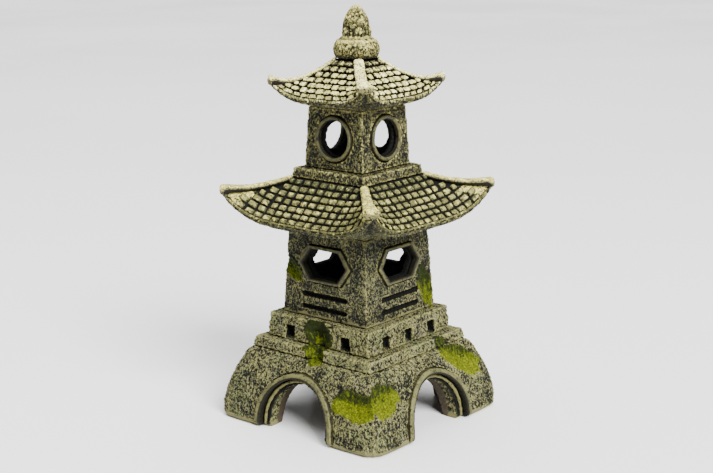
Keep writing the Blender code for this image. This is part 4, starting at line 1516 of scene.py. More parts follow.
@dataclass
class Storey:
    """Four walls fused at the corners, and the mouldings of their windows."""

    name: str
    wall_nodes: str
    frame_nodes: str
    window: Window
    pale_foot: float = -1.0
    wall: float = 60.0
    # Everything more than 0.8 mm behind the outside is painted black: black paint in the slots, painted shade
    # inside the storey
    recess: tuple[float, float, float, float] = (0.3, 0.8, 90.0, 91.0)
    grid: float = 0.6
    fuse: float = 0.2
    frame_grid: float = 0.42

    def build(self, relief: Relief, smooth: Relief, stone: Material, moulding: Material) -> None:
        """Model the storey.

        Args:
            relief: the pits of the stone.
            smooth: the slight relief of the mouldings.
            stone: the stone paint.
            moulding: the moulding paint.
        """
        walls = [self.wall_nodes.format(side) for side in SIDES]
        walls_piece = StonePiece(
            self.name, walls, wall=self.wall, band=self.pale_foot, recess=self.recess, grid=self.grid,
            fuse=self.fuse, window=self.window,
        )
        walls_piece.build(relief, stone)
        for side, side_name in enumerate(SIDES):
            node = self.frame_nodes.format(side_name)
            trim = copy_nodes(f"{node}_moulding", [node])
            remesh(trim, self.frame_grid, smooth_rounds=5)
            dress_moulding(trim, groove=self.window.groove(trim, side))
            smooth.press(trim)
            bed_piece(trim, Slot.MOULDING, moulding, [node])


@dataclass
class RoofForm:
    """Sizes of one square roof, the same as those of its solid."""

    name: str
    top_half: float
    top_z: float
    eave_half: float
    eave_z: float
    eave_thick: float
    tip_half: float
    ridge_in: tuple[float, float]
    ridge_low: tuple[float, float]
    tip_rise: float
    cap_top_width: float
    cap_tip_width: float
    cap_proud: float
    cap_thick: float
    rows: int
    pitch: float
    staggered: bool
    plan_power: float = 3.0
    lift_power: float = 4.5
    cap_start: float = 0.6
    slope_sag: float = 1.15
    ridge_sag: float = 1.6

    def cap_ends(self) -> tuple[float, float]:
        """Distances of both ends of a ridge cap from the axis, along the diagonal."""
        return self.ridge_in[0] - self.cap_start, self.tip_half * math.sqrt(2)

    def ridge_z(self, reach: Points) -> Points:
        """Height of the ridge's crest at distances from the axis along the diagonal.

        Args:
            reach: the distances.

        Returns:
            The heights.
        """
        in_share = (self.ridge_low[0] - reach) / (self.ridge_low[0] - self.ridge_in[0])
        fall = self.ridge_in[1] - self.ridge_low[1]
        inner = self.ridge_low[1] + fall * np.clip(in_share, 0, None) ** self.ridge_sag
        out_share = (reach - self.ridge_low[0]) / (self.tip_half * math.sqrt(2) - self.ridge_low[0])
        outer = self.ridge_low[1] + self.tip_rise * out_share ** 2
        return np.where(reach < self.ridge_low[0], inner, outer)

    def half(self, across: Points, down: Points) -> Points:
        """Distance of the slope from the axis, for shares across and down.

        Args:
            across: shares from the middle of a side to its ridges.
            down: shares from the top to the eave.

        Returns:
            The distances.
        """
        ridge_half = self.top_half + (self.tip_half - self.top_half) * down
        middle_half = self.top_half + (self.eave_half - self.top_half) * down
        return middle_half + (ridge_half - middle_half) * np.abs(across) ** self.plan_power

    def height(self, across: Points, down: Points) -> Points:
        """Height of the slope, for shares across and down.

        Args:
            across: shares from the middle of a side to its ridges.
            down: shares from the top to the eave.

        Returns:
            The heights.
        """
        ridge_half = self.top_half + (self.tip_half - self.top_half) * down
        fall = np.clip(1.0 - down, 0.0, 1.0)
        middle_z = self.eave_z + (self.top_z - self.eave_z) * fall ** self.slope_sag
        ridge_z = np.minimum(self.ridge_z(ridge_half * math.sqrt(2)) - self.cap_proud, self.top_z)
        return middle_z + (ridge_z - middle_z) * np.abs(across) ** self.lift_power

    def slope_under(self, points: Points) -> tuple[Points, Points]:
        """The slope's height below points of the front side, and the share down at which they lie.

        Args:
            points: the points.

        Returns:
            The heights and the shares.
        """
        out = np.maximum(-points[:, 1], 1.0)
        across = np.clip(np.abs(points[:, 0]) / out, 0.0, 1.0)
        flare = (self.tip_half - self.eave_half) * across ** self.plan_power
        spread = (self.eave_half - self.top_half) + flare
        down = (out - self.top_half) / spread
        return self.height(across, np.clip(down, 0.0, 1.0)), down

    def on_slope(self, place: Points, down: Points) -> Points:
        """Points of the front slope at distances to the side, in millimetres, and shares down.

        Args:
            place: the distances.
            down: shares from the top to the eave.

        Returns:
            The points.
        """
        across = place / self.half(np.zeros_like(place), down)
        for _ in range(8):
            across = np.clip(place / self.half(across, down), -1.05, 1.05)
        half = self.half(across, down)
        return np.stack([place, -half, self.height(across, down)], axis=-1)


@dataclass(frozen=True)
class Tile:
    """Place of one tile: its row and middle, width, tone, tilt (to one side, downwards) and skew."""

    row: int
    middle: float
    width: float
    tone: float
    tilt: Points
    skew: float


@dataclass
class Roof:
    """One roof: its bed, the rows of tiles on it and the four ridge caps."""

    form: RoofForm
    bed_grid: float = 0.85
    gap_across: float = 1.15
    gap_down: float = 0.9
    lip_rise: tuple[float, float] = (0.66, 0.30)
    top_rows_darkening: float = 0.20
    tile_proud: float = 1.05
    tile_sunk: float = 0.5
    clear: float = 1.9
    end_share: float = 0.12
    jitter: float = 0.32
    seed: int = 7
    cap_around: int = 28
    cap_along: int = 64
    cap_sunk: float = 0.8
    cap_tip_swell: float = 3.0
    cap_nose: float = 0.06
    cap_root: float = 0.05
    cap_near_tip: tuple[float, float] = (0.88, 0.96)
    cushion_height: float = 1.6
    # Painted shadow of the tile above, on staggered roofs
    shadow_under_tile_above: float = 0.26
    lip_width: float = 1.02
    least_width: float = 0.35
    tone_range: tuple[float, float] = (0.15, 1.0)
    lip_tone: float = 0.2
    tilt: float = 0.14
    skew: float = 0.09
    lip_length: float = 0.4
    lip_droop: float = 1.1
    round_end: float = 0.04
    staggered_round_end: float = 0.32
    last_round_end: float = 0.34
    last_reach: float = 1.4
    lift: float = 0.12
    staggered_lift: float = 0.75

    def build(
        self,
        relief: Relief,
        cap_relief: Relief,
        stone: Material,
        tile: Material,
        ridge: Material,
    ) -> None:
        """Model the roof.

        Args:
            relief: the slight relief of its bed.
            cap_relief: the lumps and fine pits of the caps.
            stone: the paint of the eave and the underside.
            tile: the paint of the tiles.
            ridge: the paint of the caps.
        """
        self.bed(relief, stone, ridge)
        self.tiles(tile)
        for corner, name in enumerate(CORNERS):
            self.cap(corner, name, cap_relief, ridge)

    def bed(self, relief: Relief, stone: Material, ridge: Material) -> None:
        """The roof's body: black between the tiles, cream at the bare tips, stone below.

        Args:
            relief: its slight relief.
            stone: the paint of the eave and the underside.
            ridge: the paint of the tips.
        """
        piece = copy_nodes(f"{self.form.name}_bed", [self.form.name])
        remesh(piece, self.bed_grid)
        self.level_bed(piece)
        points, normals = points_of(piece), normals_of(piece)
        out = np.abs(points[:, :2]).max(axis=1)
        over = np.abs(points[:, :2]).min(axis=1) / np.maximum(out, 1.0)
        upper = soft_step(0.35, 0.6, normals[:, 2])
        eave_share = (out - self.form.top_half) / (self.form.eave_half - self.form.top_half)
        bare = soft_step(0.80, 0.90, over) * soft_step(0.55, 0.8, eave_share)
        blank = np.zeros(len(points))
        store(piece, Mark.CREST, np.clip(crest_of(piece), -0.3, 0.08))
        store(piece, Mark.RISE, 0.72 + 0.2 * bare * upper)
        store(piece, Mark.RECESS, upper * (1.0 - bare))
        store(piece, Mark.INSIDE, soft_step(self.form.top_half * 0.9, self.form.top_half * 0.7, out))
        for mark in (Mark.MOSS, Mark.CRACK, Mark.SHADE):
            store(piece, mark, blank)
        relief.press(piece)
        bed_piece(piece, Slot.TILE, stone, [self.form.name])
        piece.data.materials.append(ridge)
        corners = np.zeros(len(piece.data.loops), dtype=np.int64)
        piece.data.loops.foreach_get("vertex_index", corners)
        smooth_tip = (bare * upper)[corners].reshape(-1, 4).min(axis=1) > 0.5
        piece.data.polygons.foreach_set("material_index", smooth_tip.astype(np.int32))

    def level_bed(self, piece: Piece) -> None:
        """Press the even cushions of the solid flat, for the crooked tiles that are laid on it.

        Args:
            piece: the piece's mesh object.
        """
        points = points_of(piece)
        for side in range(len(SIDES)):
            turned = side_points(points, side)
            here = -turned[:, 1] >= np.abs(turned[:, 0])
            slope, down = self.form.slope_under(turned)
            rise = points[:, 2] - slope
            on_top = here & (down > 0.0) & (down < 1.0) & (rise > 0.0) & (rise < self.cushion_height)
            points[:, 2] = np.where(on_top, slope, points[:, 2])
        move_points(piece, points)

    def tile_shape(self) -> Piece:
        """One tile: a cushion of 54 faces between -1 and 1 each way.

        Returns:
            The tile, to be copied and removed.
        """
        deselect_all()
        bpy.ops.mesh.primitive_cube_add(size=2.0)
        piece = name_piece(bpy.context.object, f"{self.form.name}_tile")
        bpy.ops.object.mode_set(mode="EDIT")
        bpy.ops.mesh.select_all(action="SELECT")
        bpy.ops.mesh.subdivide(number_cuts=2)
        bpy.ops.object.mode_set(mode="OBJECT")
        points = points_of(piece) * MM
        inner = np.abs(points) < 0.5
        points = np.where(inner, np.sign(points) * 0.60, points)
        rim = np.maximum(np.abs(points[:, 0]), np.abs(points[:, 1])) > 0.9
        corner = np.minimum(np.abs(points[:, 0]), np.abs(points[:, 1])) > 0.9
        top = points[:, 2] > 0.9
        points[:, 2] = np.where(top & rim, 0.30, points[:, 2])
        points[:, :2] *= np.where(corner, 0.90, 1.0)[:, None]
        points[:, :2] *= np.where(points[:, 2] > 0.4, 0.94, 1.0)[:, None]
        move_points(piece, points / MM)
        return piece

    def tiles(self, material: Material) -> None:
        """All the tiles of the roof, joined into one piece for each side.

        Args:
            material: their paint.
        """
        shape = self.tile_shape()
        local = points_of(shape) * MM
        faces = [tuple(face.vertices) for face in shape.data.polygons]
        rng = np.random.default_rng(self.seed)
        for side, side_name in enumerate(SIDES):
            blocks, rises, tones = [], [], []
            for row in range(self.form.rows + 1):
                for tile in self.row_of_tiles(row, rng):
                    blocks.append(side_points(self.tile_points(local, tile), -side))
                    rises.append(self.tile_rise(local, row))
                    tones.append(np.full(len(local), tile.tone))
            starts = range(0, len(local) * len(blocks), len(local))
            all_faces = [tuple(index + start for index in face) for start in starts for face in faces]
            self.join_tiles(side_name, blocks, all_faces, rises, tones, material)
        bpy.data.objects.remove(shape, do_unlink=True)

    def row_of_tiles(self, row: int, rng: np.random.Generator) -> Iterator[Tile]:
        """Draw the tiles of one row, each a little crooked; those cut off at its ends are narrower.

        Args:
            row: the row, from the top; the last one stands on the eave's edge.
            rng: the source of chance.

        Returns:
            The tiles, from one ridge to the next.
        """
        form = self.form
        lip = row == form.rows
        reach = self.row_reach(row)
        shift = form.pitch / 2 if (form.staggered and row % 2) else 0.0
        count = int(reach / form.pitch) + 2
        for column in range(-count, count + 1):
            middle = column * form.pitch + shift + rng.normal(0.0, self.jitter * 0.6)
            width = form.pitch - self.gap_across + rng.normal(0.0, self.jitter)
            width = form.pitch * self.lip_width if lip else width
            tone = rng.uniform(*self.tone_range) * (self.lip_tone if lip else 1.0)
            tilt = rng.normal(0.0, self.tilt, size=2)
            skew = rng.normal(0.0, self.skew)
            start, end = max(middle - width / 2, -reach), min(middle + width / 2, reach)
            if end - start >= self.least_width * width:
                yield Tile(row, (start + end) / 2, end - start, tone, tilt, skew)

    def tile_rise(self, local: Points, row: int) -> Points:
        """How bright each point of a tile can be; the top rows are darker, and on the upper roof the top end
        of each tile carries painted shadow.

        Args:
            local: the tile's own points.
            row: its row, from the top.

        Returns:
            The brightness.
        """
        from_top = (1.0 + local[:, 1]) / 2
        if row == self.form.rows:
            return self.lip_rise[0] + self.lip_rise[1] * from_top
        # Painted shadow: on the upper roof each tile darkens towards its top end, under the lifted lower edge
        # of the tile above
        under = self.shadow_under_tile_above * from_top if self.form.staggered else 0.0
        # The top rows are darker
        darkened = self.top_rows_darkening * max(0.0, 1.0 - row / 2)
        return local[:, 2] * 0.5 + 0.5 - under - darkened

    def row_reach(self, row: int) -> float:
        """How far a row of tiles reaches to each side, under the ridge caps or to the smooth tip.

        Args:
            row: the row, from the top.

        Returns:
            The reach.
        """
        down = min(row / self.form.rows, 1.0)
        half = self.form.top_half + (self.form.tip_half - self.form.top_half) * down
        return min(half - self.clear, half * (1.0 - self.end_share * down ** 2))

    def tile_points(self, local: Points, tile: Tile) -> Points:
        """Lay one tile on the front slope, or on the eave's edge.

        Args:
            local: the tile's own points.
            tile: its place.

        Returns:
            Its points, in millimetres.
        """
        form = self.form
        side_way = tile.middle + local[:, 0] * tile.width / 2 * (1.0 + tile.skew * local[:, 1])
        rise = np.where(local[:, 2] > 0, local[:, 2] * self.tile_proud, local[:, 2] * self.tile_sunk)
        rise = rise + (tile.tilt[0] * local[:, 0] + tile.tilt[1] * local[:, 1]) * (local[:, 2] > 0)
        along = (1.0 - local[:, 1]) / 2
        if tile.row == form.rows:
            top = form.on_slope(side_way, np.full(len(local), 1.0))
            droop = self.lip_droop * (1.0 - local[:, 0] ** 2)
            top[:, 2] -= along * (form.eave_thick * self.lip_length + droop) + 0.1
            top[:, 1] -= rise * 0.75
            return top
        length = 1.0 / form.rows
        gap_share = self.gap_down / (self.slope_length() / form.rows)
        last = tile.row == form.rows - 1
        bow = self.staggered_round_end if form.staggered else self.round_end
        round_end = (self.last_round_end if last else bow) * (1.0 - local[:, 0] ** 2)
        round_end += self.last_reach * gap_share if last else 0.0
        down = (tile.row + gap_share / 2 + along * (1.0 - gap_share + round_end)) * length
        over_edge = np.clip(down - 1.0, 0.0, 1.0) * self.slope_length()
        base = form.on_slope(side_way, np.clip(down, 0.0, 1.02))
        base[:, 2] -= over_edge * 0.9
        step = 0.004
        below = form.on_slope(side_way, np.clip(down + step, 0.0, 1.03))
        way = below - base
        way /= np.linalg.norm(way, axis=1)[:, None] + 1e-9
        normal = np.stack([np.zeros(len(way)), way[:, 2], -way[:, 1]], axis=1)
        normal *= np.sign(normal[:, 2:3] + 1e-9)
        normal /= np.linalg.norm(normal, axis=1)[:, None] + 1e-9
        lift = (self.staggered_lift if form.staggered else self.lift) * along
        return base + normal * (rise + lift)[:, None]

    def slope_length(self) -> float:
        """Length of the slope in the middle of a side."""
        form = self.form
        return math.hypot(form.eave_half - form.top_half, form.top_z - form.eave_z)

    def join_tiles(
        self,
        side_name: str,
        blocks: Sequence[Points],
        faces: Sequence[tuple],
        rises: Sequence[Points],
        tones: Sequence[Points],
        material: Material,
    ) -> None:
        """Make one piece of all the tiles of a side.

        Args:
            side_name: the side.
            blocks: the points of each tile.
            faces: the faces of all tiles.
            rises: how bright each point of each tile can be.
            tones: the tone of each tile.
            material: their paint.
        """
        mesh = bpy.data.meshes.new(f"{self.form.name}_tiles_{side_name}")
        mesh.from_pydata((np.concatenate(blocks) * MM).tolist(), [], faces)
        mesh.update()
        piece = bpy.data.objects.new(mesh.name, mesh)
        bpy.context.scene.collection.objects.link(piece)
        store(piece, Mark.RISE, np.concatenate(rises))
        store(piece, Mark.TONE, np.concatenate(tones))
        pick(piece)
        bpy.ops.object.shade_smooth_by_angle(angle=math.radians(50))
        bed_piece(piece, Slot.TILE, material)

    def cap(self, corner: int, name: str, relief: Relief, material: Material) -> None:
        """One ridge cap with a round nose at its tip.

        Args:
            corner: the number of its corner.
            name: the corner's name.
            relief: its lumps and pits.
            material: its paint.
        """
        form = self.form
        place = partial(self.cap_points, corner)
        piece = mapped_ball(f"{form.name}_cap_{name}", self.cap_around, self.cap_along, place)
        start, end = form.cap_ends()
        points = points_of(piece)
        reach = np.hypot(points[:, 0], points[:, 1])
        below = form.ridge_z(reach) - points[:, 2]
        rise = np.clip(1.0 - below / (form.cap_thick + 1.0), 0.0, 1.0)
        # Near the tip the rise follows how far the faces turn up, so tops are cream and faces that turn down
        # darker: partly dry-brushing, partly painted light and shade
        near_tip = soft_step(*self.cap_near_tip, (reach - start) / (end - start))
        tip_rise = np.clip(0.66 + 0.5 * normals_of(piece)[:, 2], 0.62, 1.0)
        store(piece, Mark.RISE, rise + (tip_rise - rise) * near_tip)
        blank = np.zeros(len(points))
        for mark in (Mark.MOSS, Mark.CRACK, Mark.INSIDE):
            store(piece, mark, blank)
        relief.press(piece)
        bed_piece(piece, Slot.TILE, material, [f"{form.name}_ridge_{name}"])

    def cap_points(self, corner: int, turn: Points, share: Points) -> Points:
        """Stretch a ball along a ridge, wider and thicker towards the tip.

        Args:
            corner: the number of the ridge's corner.
            turn: turns round the cap's own axis, in radians.
            share: shares from its upper end to the tip.

        Returns:
            The points.
        """
        form = self.form
        start, end = form.cap_ends()
        reach = start + (end - start) * share
        in_nose = np.clip((share - 1.0 + self.cap_nose) / self.cap_nose, 0.0, 1.0)
        in_root = np.clip((self.cap_root - share) / self.cap_root, 0.0, 1.0)
        full = np.sqrt(1.0 - in_nose ** 2) * np.sqrt(1.0 - in_root ** 2)
        width = form.cap_top_width + (form.cap_tip_width - form.cap_top_width) * share ** 2
        thick = form.cap_thick + self.cap_sunk + self.cap_tip_swell * share ** 6
        wide, tall = np.cos(turn), np.sin(turn)
        side_way = width / 2 * np.sign(wide) * np.abs(wide) ** 0.9 * full
        rise = thick / 2 * np.sign(tall) * np.abs(tall) ** 0.95 * full
        height = form.ridge_z(reach) - thick / 2 + rise
        angle = (corner - 0.5) * QUARTER_TURN
        x = reach * math.cos(angle) - side_way * math.sin(angle)
        y = reach * math.sin(angle) + side_way * math.cos(angle)
        return np.stack([x, y, height], axis=1)


@dataclass
class Finial:
    """The fat ring and the lotus bud with its petals."""

    ring_bottom: float = 183.9
    ring_top: float = 193.0
    ring_low: float = 10.2
    ring_wide: float = 11.6
    ring_high: float = 9.6
    bud_bottom: float = 193.3
    bud_top: float = 210.0
    bud_profile: tuple = (
        (0.0, 7.2), (0.08, 7.1), (0.18, 7.3), (0.38, 7.0), (0.58, 6.0),
        (0.76, 4.5), (0.91, 2.8), (0.98, 1.3), (1.0, 0.0),
    )
    around: int = 90
    along: int = 56
    ring_along: int = 44
    ring_flat: float = 0.26
    ring_swell_power: float = 0.8
    ring_sweep: float = 2.0
    ring_sweep_share: float = 0.27
    ring_sweep_power: float = 1.6
    petals: int = 5
    petal_turn: float = -0.62
    petal_half_wide: float = 0.44
    petal_half_tall: float = 0.19
    petal_middle: float = 0.17
    petal_proud: float = 0.95
    petal_sunk: float = 0.6
    bud_foot: float = 0.04
    # Lighter tops and darker undersides: partly dry-brushing from above, partly painted light and shade
    brushed: float = 0.36

    def build(self, relief: Relief, material: Material) -> None:
        """Model the finial.

        Args:
            relief: its pits.
            material: its paint.
        """
        ring = mapped_ball("finial_ring_cushion", self.around, self.ring_along, self.ring_place)
        self.finish(ring, relief, material, "finial_ring")
        bud = mapped_ball("finial_lotus_bud", self.around, self.along, self.bud_place)
        self.finish(bud, relief, material, "finial_bud")

    def ring_place(self, turn: Points, share: Points) -> Points:
        """Points of the cushion-shaped ring.

        Args:
            turn: turns round the axis, in radians.
            share: shares from pole to pole.

        Returns:
            The points.
        """
        flat = self.ring_flat
        edge = np.clip((share - flat) / (1 - 2 * flat), 0.0, 1.0)
        swell = self.ring_wide - (self.ring_high + self.ring_low) / 2
        body = self.ring_high + (self.ring_low - self.ring_high) * edge
        body = body + swell * np.sin(math.pi * edge) ** self.ring_swell_power
        inner = np.where(share < flat, share / flat, np.where(share > 1 - flat, (1 - share) / flat, 1.0))
        radius = body * inner
        near_middle = np.clip((1.0 - inner) / self.ring_sweep_share, 0.0, 1.0)
        swept = self.ring_sweep * near_middle ** self.ring_sweep_power
        height = self.ring_top + (self.ring_bottom - self.ring_top) * edge + np.where(share < 0.5, swept, 0.0)
        return np.stack([radius * np.cos(turn), radius * np.sin(turn), height], axis=1)

    def bud_place(self, turn: Points, share: Points) -> Points:
        """Points of the bud, with petals standing out round its foot.

        Args:
            turn: turns round the axis, in radians.
            share: shares from pole to pole.

        Returns:
            The points.
        """
        up = 1.0 - share
        shares = [row[0] for row in self.bud_profile]
        radii = [row[1] for row in self.bud_profile]
        radius = np.interp(up, shares, radii)
        closed = radius * np.sqrt(np.clip(up / self.bud_foot, 0.0, 1.0))
        radius = np.where(up < self.bud_foot, closed, radius)
        away = self.petal_away(turn, up)
        lobe = np.sqrt(np.clip(1.0 - away ** 2, 0.0, 1.0))
        sunk = self.petal_sunk * soft_step(1.7, 1.0, away) * soft_step(0.02, 0.12, up)
        radius = radius + self.petal_proud * lobe - sunk
        height = self.bud_bottom + (self.bud_top - self.bud_bottom) * up
        return np.stack([radius * np.cos(turn), radius * np.sin(turn), height], axis=1)

    def petal_away(self, turn: Points, up: Points) -> Points:
        """How far points of the bud are from the middle of the next petal, 1 at its edge.

        Args:
            turn: turns round the axis, in radians.
            up: shares from the bud's foot to its tip.

        Returns:
            The distances.
        """
        step = 2 * math.pi / self.petals
        aside = (turn - self.petal_turn + step / 2) % step - step / 2
        return np.hypot(aside / self.petal_half_wide, (up - self.petal_middle) / self.petal_half_tall)

    def finish(self, piece: Piece, relief: Relief, material: Material, node: str) -> None:
        """Measure, pit and place one piece of the finial.

        Args:
            piece: the piece's mesh object.
            relief: its pits.
            material: its paint.
            node: the node that it stands for.
        """
        # Tops raise the crest and undersides lower it, so they take worn cream and dark wash: partly
        # dry-brushing, partly painted light and shade
        brushed = self.brushed * (normals_of(piece)[:, 2] - 0.25)
        points = points_of(piece)
        up = (points[:, 2] - self.bud_bottom) / (self.bud_top - self.bud_bottom)
        away = self.petal_away(np.arctan2(points[:, 1], points[:, 0]), up) + 0.12 * ragged_noise(points, 1.5)
        # Painted shade in the crevices round the petals' edges
        crevice = 0.7 * soft_step(0.90, 1.04, away) * soft_step(1.45, 1.1, away) * (up > 0.0)
        gap = np.abs(points[:, 2] - self.ring_top) + 0.7 * ragged_noise(points, 2.0)
        near_axis = soft_step(9.4, 8.4, np.hypot(points[:, 0], points[:, 1]))
        # Painted shade on the lower part of the ring
        wavy = points[:, 2] + 0.6 * ragged_noise(points, 1.7)
        below = soft_step(self.ring_bottom + 2.4, self.ring_bottom + 0.4, wavy)
        joint = 0.6 * soft_step(1.3, 0.5, gap) * near_axis
        store(piece, Mark.RECESS, np.maximum(np.maximum(joint, crevice), 0.85 * below))
        store(piece, Mark.CREST, crest_of(piece, 10) + brushed)
        relief.press(piece)
        bed_piece(piece, Slot.STONE, material, [node])


@dataclass
class Studio:
    """Floor, lights and camera."""

    floor_size: float = 100.0
    room_light: float = 0.28
    key_light: float = 9.4
    key_way: tuple[float, float, float] = (1.0, -0.35, 0.85)
    key_spread: float = 30.0
    top_light: float = 4.6
    top_way: tuple[float, float, float] = (-0.15, 0.1, 1.0)
    top_spread: float = 70.0
    lens: float = 73.03
    camera_turn: float = math.pi / 4 - math.radians(5.1846)
    camera_away: float = 0.718384
    camera_height: float = 0.263132
    pitch: float = 0.233071206
    yaw: float = -0.00133776205
    roll: float = -0.0104833318

    def build(self) -> None:
        """Set up the studio."""
        self.floor()
        self.light()
        self.camera()

    def floor(self) -> None:
        """A plain, pale, slightly glossy floor."""
        deselect_all()
        bpy.ops.mesh.primitive_plane_add(size=self.floor_size, location=(0.0, 0.0, 0.0))
        floor = name_piece(bpy.context.object, "studio_floor")
        floor.data.materials.append(FloorPaint().make())
        floor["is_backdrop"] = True

    def light(self) -> None:
        """A dim white room and two soft lights: a key from the right and one from above."""
        world = bpy.data.worlds.new("studio_world")
        bpy.context.scene.world = world
        world.use_nodes = True
        room = world.node_tree.nodes["Background"]
        room.inputs["Color"].default_value = (1.0, 1.0, 1.0, 1.0)
        room.inputs["Strength"].default_value = self.room_light
        self.lamp("key_light", self.key_way, self.key_light, self.key_spread)
        self.lamp("top_light", self.top_way, self.top_light, self.top_spread)

    def lamp(self, name: str, way: tuple[float, float, float], strength: float, spread: float) -> None:
        """Add a soft, even light from far away, as from a big softbox.

        Args:
            name: the light's name.
            way: the direction that it comes from.
            strength: its strength.
            spread: how wide it looks from the object, in degrees.
        """
        lamp = bpy.data.lights.new(name, "SUN")
        lamp.energy = strength
        lamp.angle = math.radians(spread)
        holder = bpy.data.objects.new(name, lamp)
        bpy.context.scene.collection.objects.link(holder)
        holder.rotation_euler = Vector(way).to_track_quat("Z", "Y").to_euler()

    def camera(self) -> None:
        """The camera that took the photograph."""
        level = Vector((math.sin(self.yaw), math.cos(self.yaw), 0.0))
        right = Vector((math.cos(self.yaw), -math.sin(self.yaw), 0.0))
        ahead = level * math.cos(self.pitch) - Vector((0.0, 0.0, math.sin(self.pitch)))
        up = level * math.sin(self.pitch) + Vector((0.0, 0.0, math.cos(self.pitch)))
        rolled_right = right * math.cos(self.roll) + up * math.sin(self.roll)
        rolled_up = up * math.cos(self.roll) - right * math.sin(self.roll)
        turn = Matrix.Rotation(self.camera_turn, 3, "Z")
        axes = Matrix((turn @ rolled_right, turn @ rolled_up, -(turn @ ahead))).transposed().to_4x4()
        axes.translation = turn @ Vector((0.0, -self.camera_away, self.camera_height))
        lens = bpy.data.cameras.new("photo_camera")
        lens.sensor_width = 36.0
        lens.lens = self.lens
        lens.clip_start = 0.01
        camera = bpy.data.objects.new("photo_camera", lens)
        bpy.context.scene.collection.objects.link(camera)
        camera.matrix_world = axes
        bpy.context.scene.camera = camera


LOWER_ROOF = RoofForm(
    name="lower_roof", top_half=24.2, top_z=124.4, eave_half=45.5, eave_z=106.0, eave_thick=3.4,
    tip_half=49.6, ridge_in=(33.3, 125.9), ridge_low=(57.0, 121.2), tip_rise=0.9,
    cap_top_width=5.0, cap_tip_width=9.5, cap_proud=1.6, cap_thick=2.6, rows=7, pitch=5.4, staggered=False,
)
UPPER_ROOF = RoofForm(
    name="upper_roof", top_half=8.8, top_z=183.1, eave_half=28.6, eave_z=166.0, eave_thick=3.2,
    tip_half=31.6, ridge_in=(12.0, 183.6), ridge_low=(33.8, 174.4), tip_rise=2.6,
    cap_top_width=5.6, cap_tip_width=9.0, cap_proud=1.5, cap_thick=2.4, rows=7, pitch=5.0, staggered=True,
    cap_start=2.4,
)
HEX_WINDOWS = Window(
    Outline.HEXAGON, middle=82.5, half_wide=13.8, half_tall=7.3, narrowing=0.07, groove_reach=1.13,
)
ROUND_WINDOWS = Window(Outline.ROUND, middle=145.3, half_wide=10.5, half_tall=10.5, narrowing=0.2)

# The pits are coarse on the base, sparse on the courses, close on the walls and speckled on the finial
COARSE = Granite(pit=1.28, fine=0.65)
SPARSE = Granite(pit=1.2, fine=0.6, cover=0.437, fine_cover=0.41)
CLOSE = Granite(pit=1.1, fine=0.56, warp=1.7, region=7.0, cover=0.457, fine_cover=0.43)
SPECKLED = Granite(pit=1.1, fine=0.6, cover=0.42, fine_cover=0.42)
PITTED = Relief("pitted_relief", granite=COARSE)
COURSE_PITTED = Relief("course_pitted_relief", granite=SPARSE)
WALL_PITTED = Relief("wall_pitted_relief", granite=CLOSE, pit_depth=0.32)
SPECKLED_RELIEF = Relief("finial_relief", granite=SPECKLED, pit_depth=0.3)
SMOOTH = Relief("smooth_relief", pit_depth=0.0, grain_height=0.22, grain_size=1.5)
ROUGH = Relief("rough_relief", pit_depth=0.2, grain_height=0.18, grain_size=1.3)
LUMPY = Relief(
    "cap_relief", granite=Granite(pit=1.1, fine=0.6), pit_depth=0.22, grain_height=0.25, grain_size=2.0,
)

STONE_PAINTS = (
    StonePaint(granite=COARSE),
    StonePaint(name="cast_resin_sparsely_pitted_stone_paint", granite=SPARSE, ridge_share=0.3),
    # The finial's bright cream goes on its tops: partly dry-brushing, partly painted light
    StonePaint(
        name="cast_resin_finial_paint_with_painted_light", granite=SPECKLED, ridge_share=0.2,
        skin="#5c5836", green_skin="#494b2c", grey_skin="#4e4b33", worn="#d8cf78", dip="#39371f",
    ),
    # Two darker copies of the stone paint for the storeys, the collar and the roofs' undersides: partly a
    # less worn paint, partly painted shade under the eaves
    StonePaint(
        name="cast_resin_darker_stone_paint_with_painted_shade", granite=CLOSE, ridge_share=0.18,
        skin="#504f34", green_skin="#454c32", grey_skin="#48473b", worn="#a8a060", dip="#24261d",
    ),
    StonePaint(
        name="cast_resin_dark_stone_paint_with_painted_shade", granite=CLOSE,
        skin="#5a5839", green_skin="#4d5336", grey_skin="#504e41", worn="#7a764a", dip="#2c2e25",
    ),
)
RUBBED = MouldingPaint(skin="#605e3b", dull="#4b4b30", worn="#7d7949")
DULL = MouldingPaint(name="cast_resin_dull_window_moulding_paint")
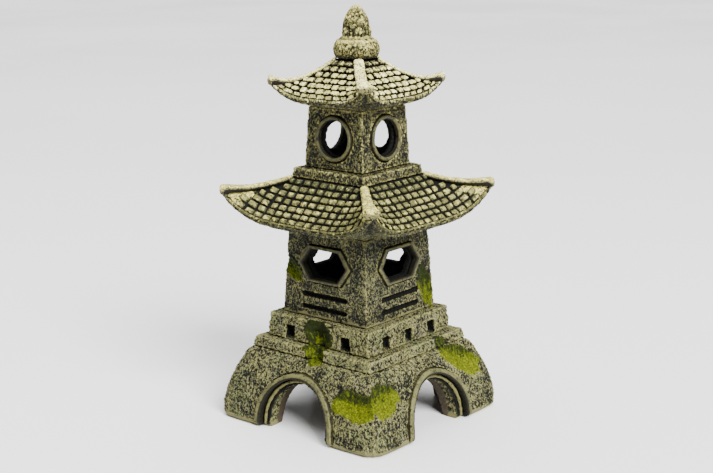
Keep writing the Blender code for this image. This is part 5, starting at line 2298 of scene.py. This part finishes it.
# Paler copies of the tile and ridge paints for the upper roof: partly paler dry-brushing, partly painted
# light, the upper roof standing nearer the light from above
PALE_TILE = TilePaint(
    name="cast_resin_dry_brushed_tile_paint_with_painted_light", body_from=1.24, bright_share=0.9,
    rim="#4a492c", mid="#9b955a", cream="#e6dd8a", bright="#fffdb4",
)
PALE_RIDGE = RidgePaint(name="cast_resin_ridge_paint_with_painted_light", cream="#d5cd80", bright="#fffab4")


def write_sizes(solid_box: Any) -> None:
    """Put the box of the solids and that of the dressed object into plain lists of metres, which are not
    kept.

    Args:
        solid_box: the box of the solids alone.
    """
    boxes = {"cad": solid_box, "visual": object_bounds()}
    plain = {name: [[float(value) for value in corner] for corner in box] for name, box in boxes.items()}


def main() -> None:
    """Build all pieces in order, from the floor up."""
    logging.basicConfig(level=logging.INFO, format="%(name)s: %(message)s")
    solid_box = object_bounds()
    stone, course_stone, pale_stone, upper_stone, wall_stone = (paint.make() for paint in STONE_PAINTS)
    moulding, dull_moulding = RUBBED.make(), DULL.make()
    tile, pale_tile = TilePaint().make(), PALE_TILE.make()
    ridge, pale_ridge = RidgePaint().make(), PALE_RIDGE.make()
    Base().build(PITTED, SMOOTH, stone, moulding)
    Courses().build(COURSE_PITTED, WALL_PITTED, course_stone, upper_stone)
    lower_storey = Storey("lower_storey", "{}_wall", "{}_hex_frame", HEX_WINDOWS, pale_foot=56.0)
    lower_storey.build(WALL_PITTED, SMOOTH, wall_stone, dull_moulding)
    Roof(LOWER_ROOF).build(ROUGH, LUMPY, upper_stone, tile, ridge)
    upper_storey = Storey("upper_storey", "{}_upper_wall", "{}_round_frame", ROUND_WINDOWS)
    upper_storey.build(WALL_PITTED, SMOOTH, upper_stone, dull_moulding)
    upper_roof = Roof(UPPER_ROOF, bed_grid=0.75, gap_across=0.5, gap_down=1.0, lip_rise=(0.48, 0.30), seed=11)
    upper_roof.build(ROUGH, LUMPY, upper_stone, pale_tile, pale_ridge)
    Finial().build(SPECKLED_RELIEF, pale_stone)
    Studio().build()
    write_sizes(solid_box)


if __name__ == "__main__":
    main()
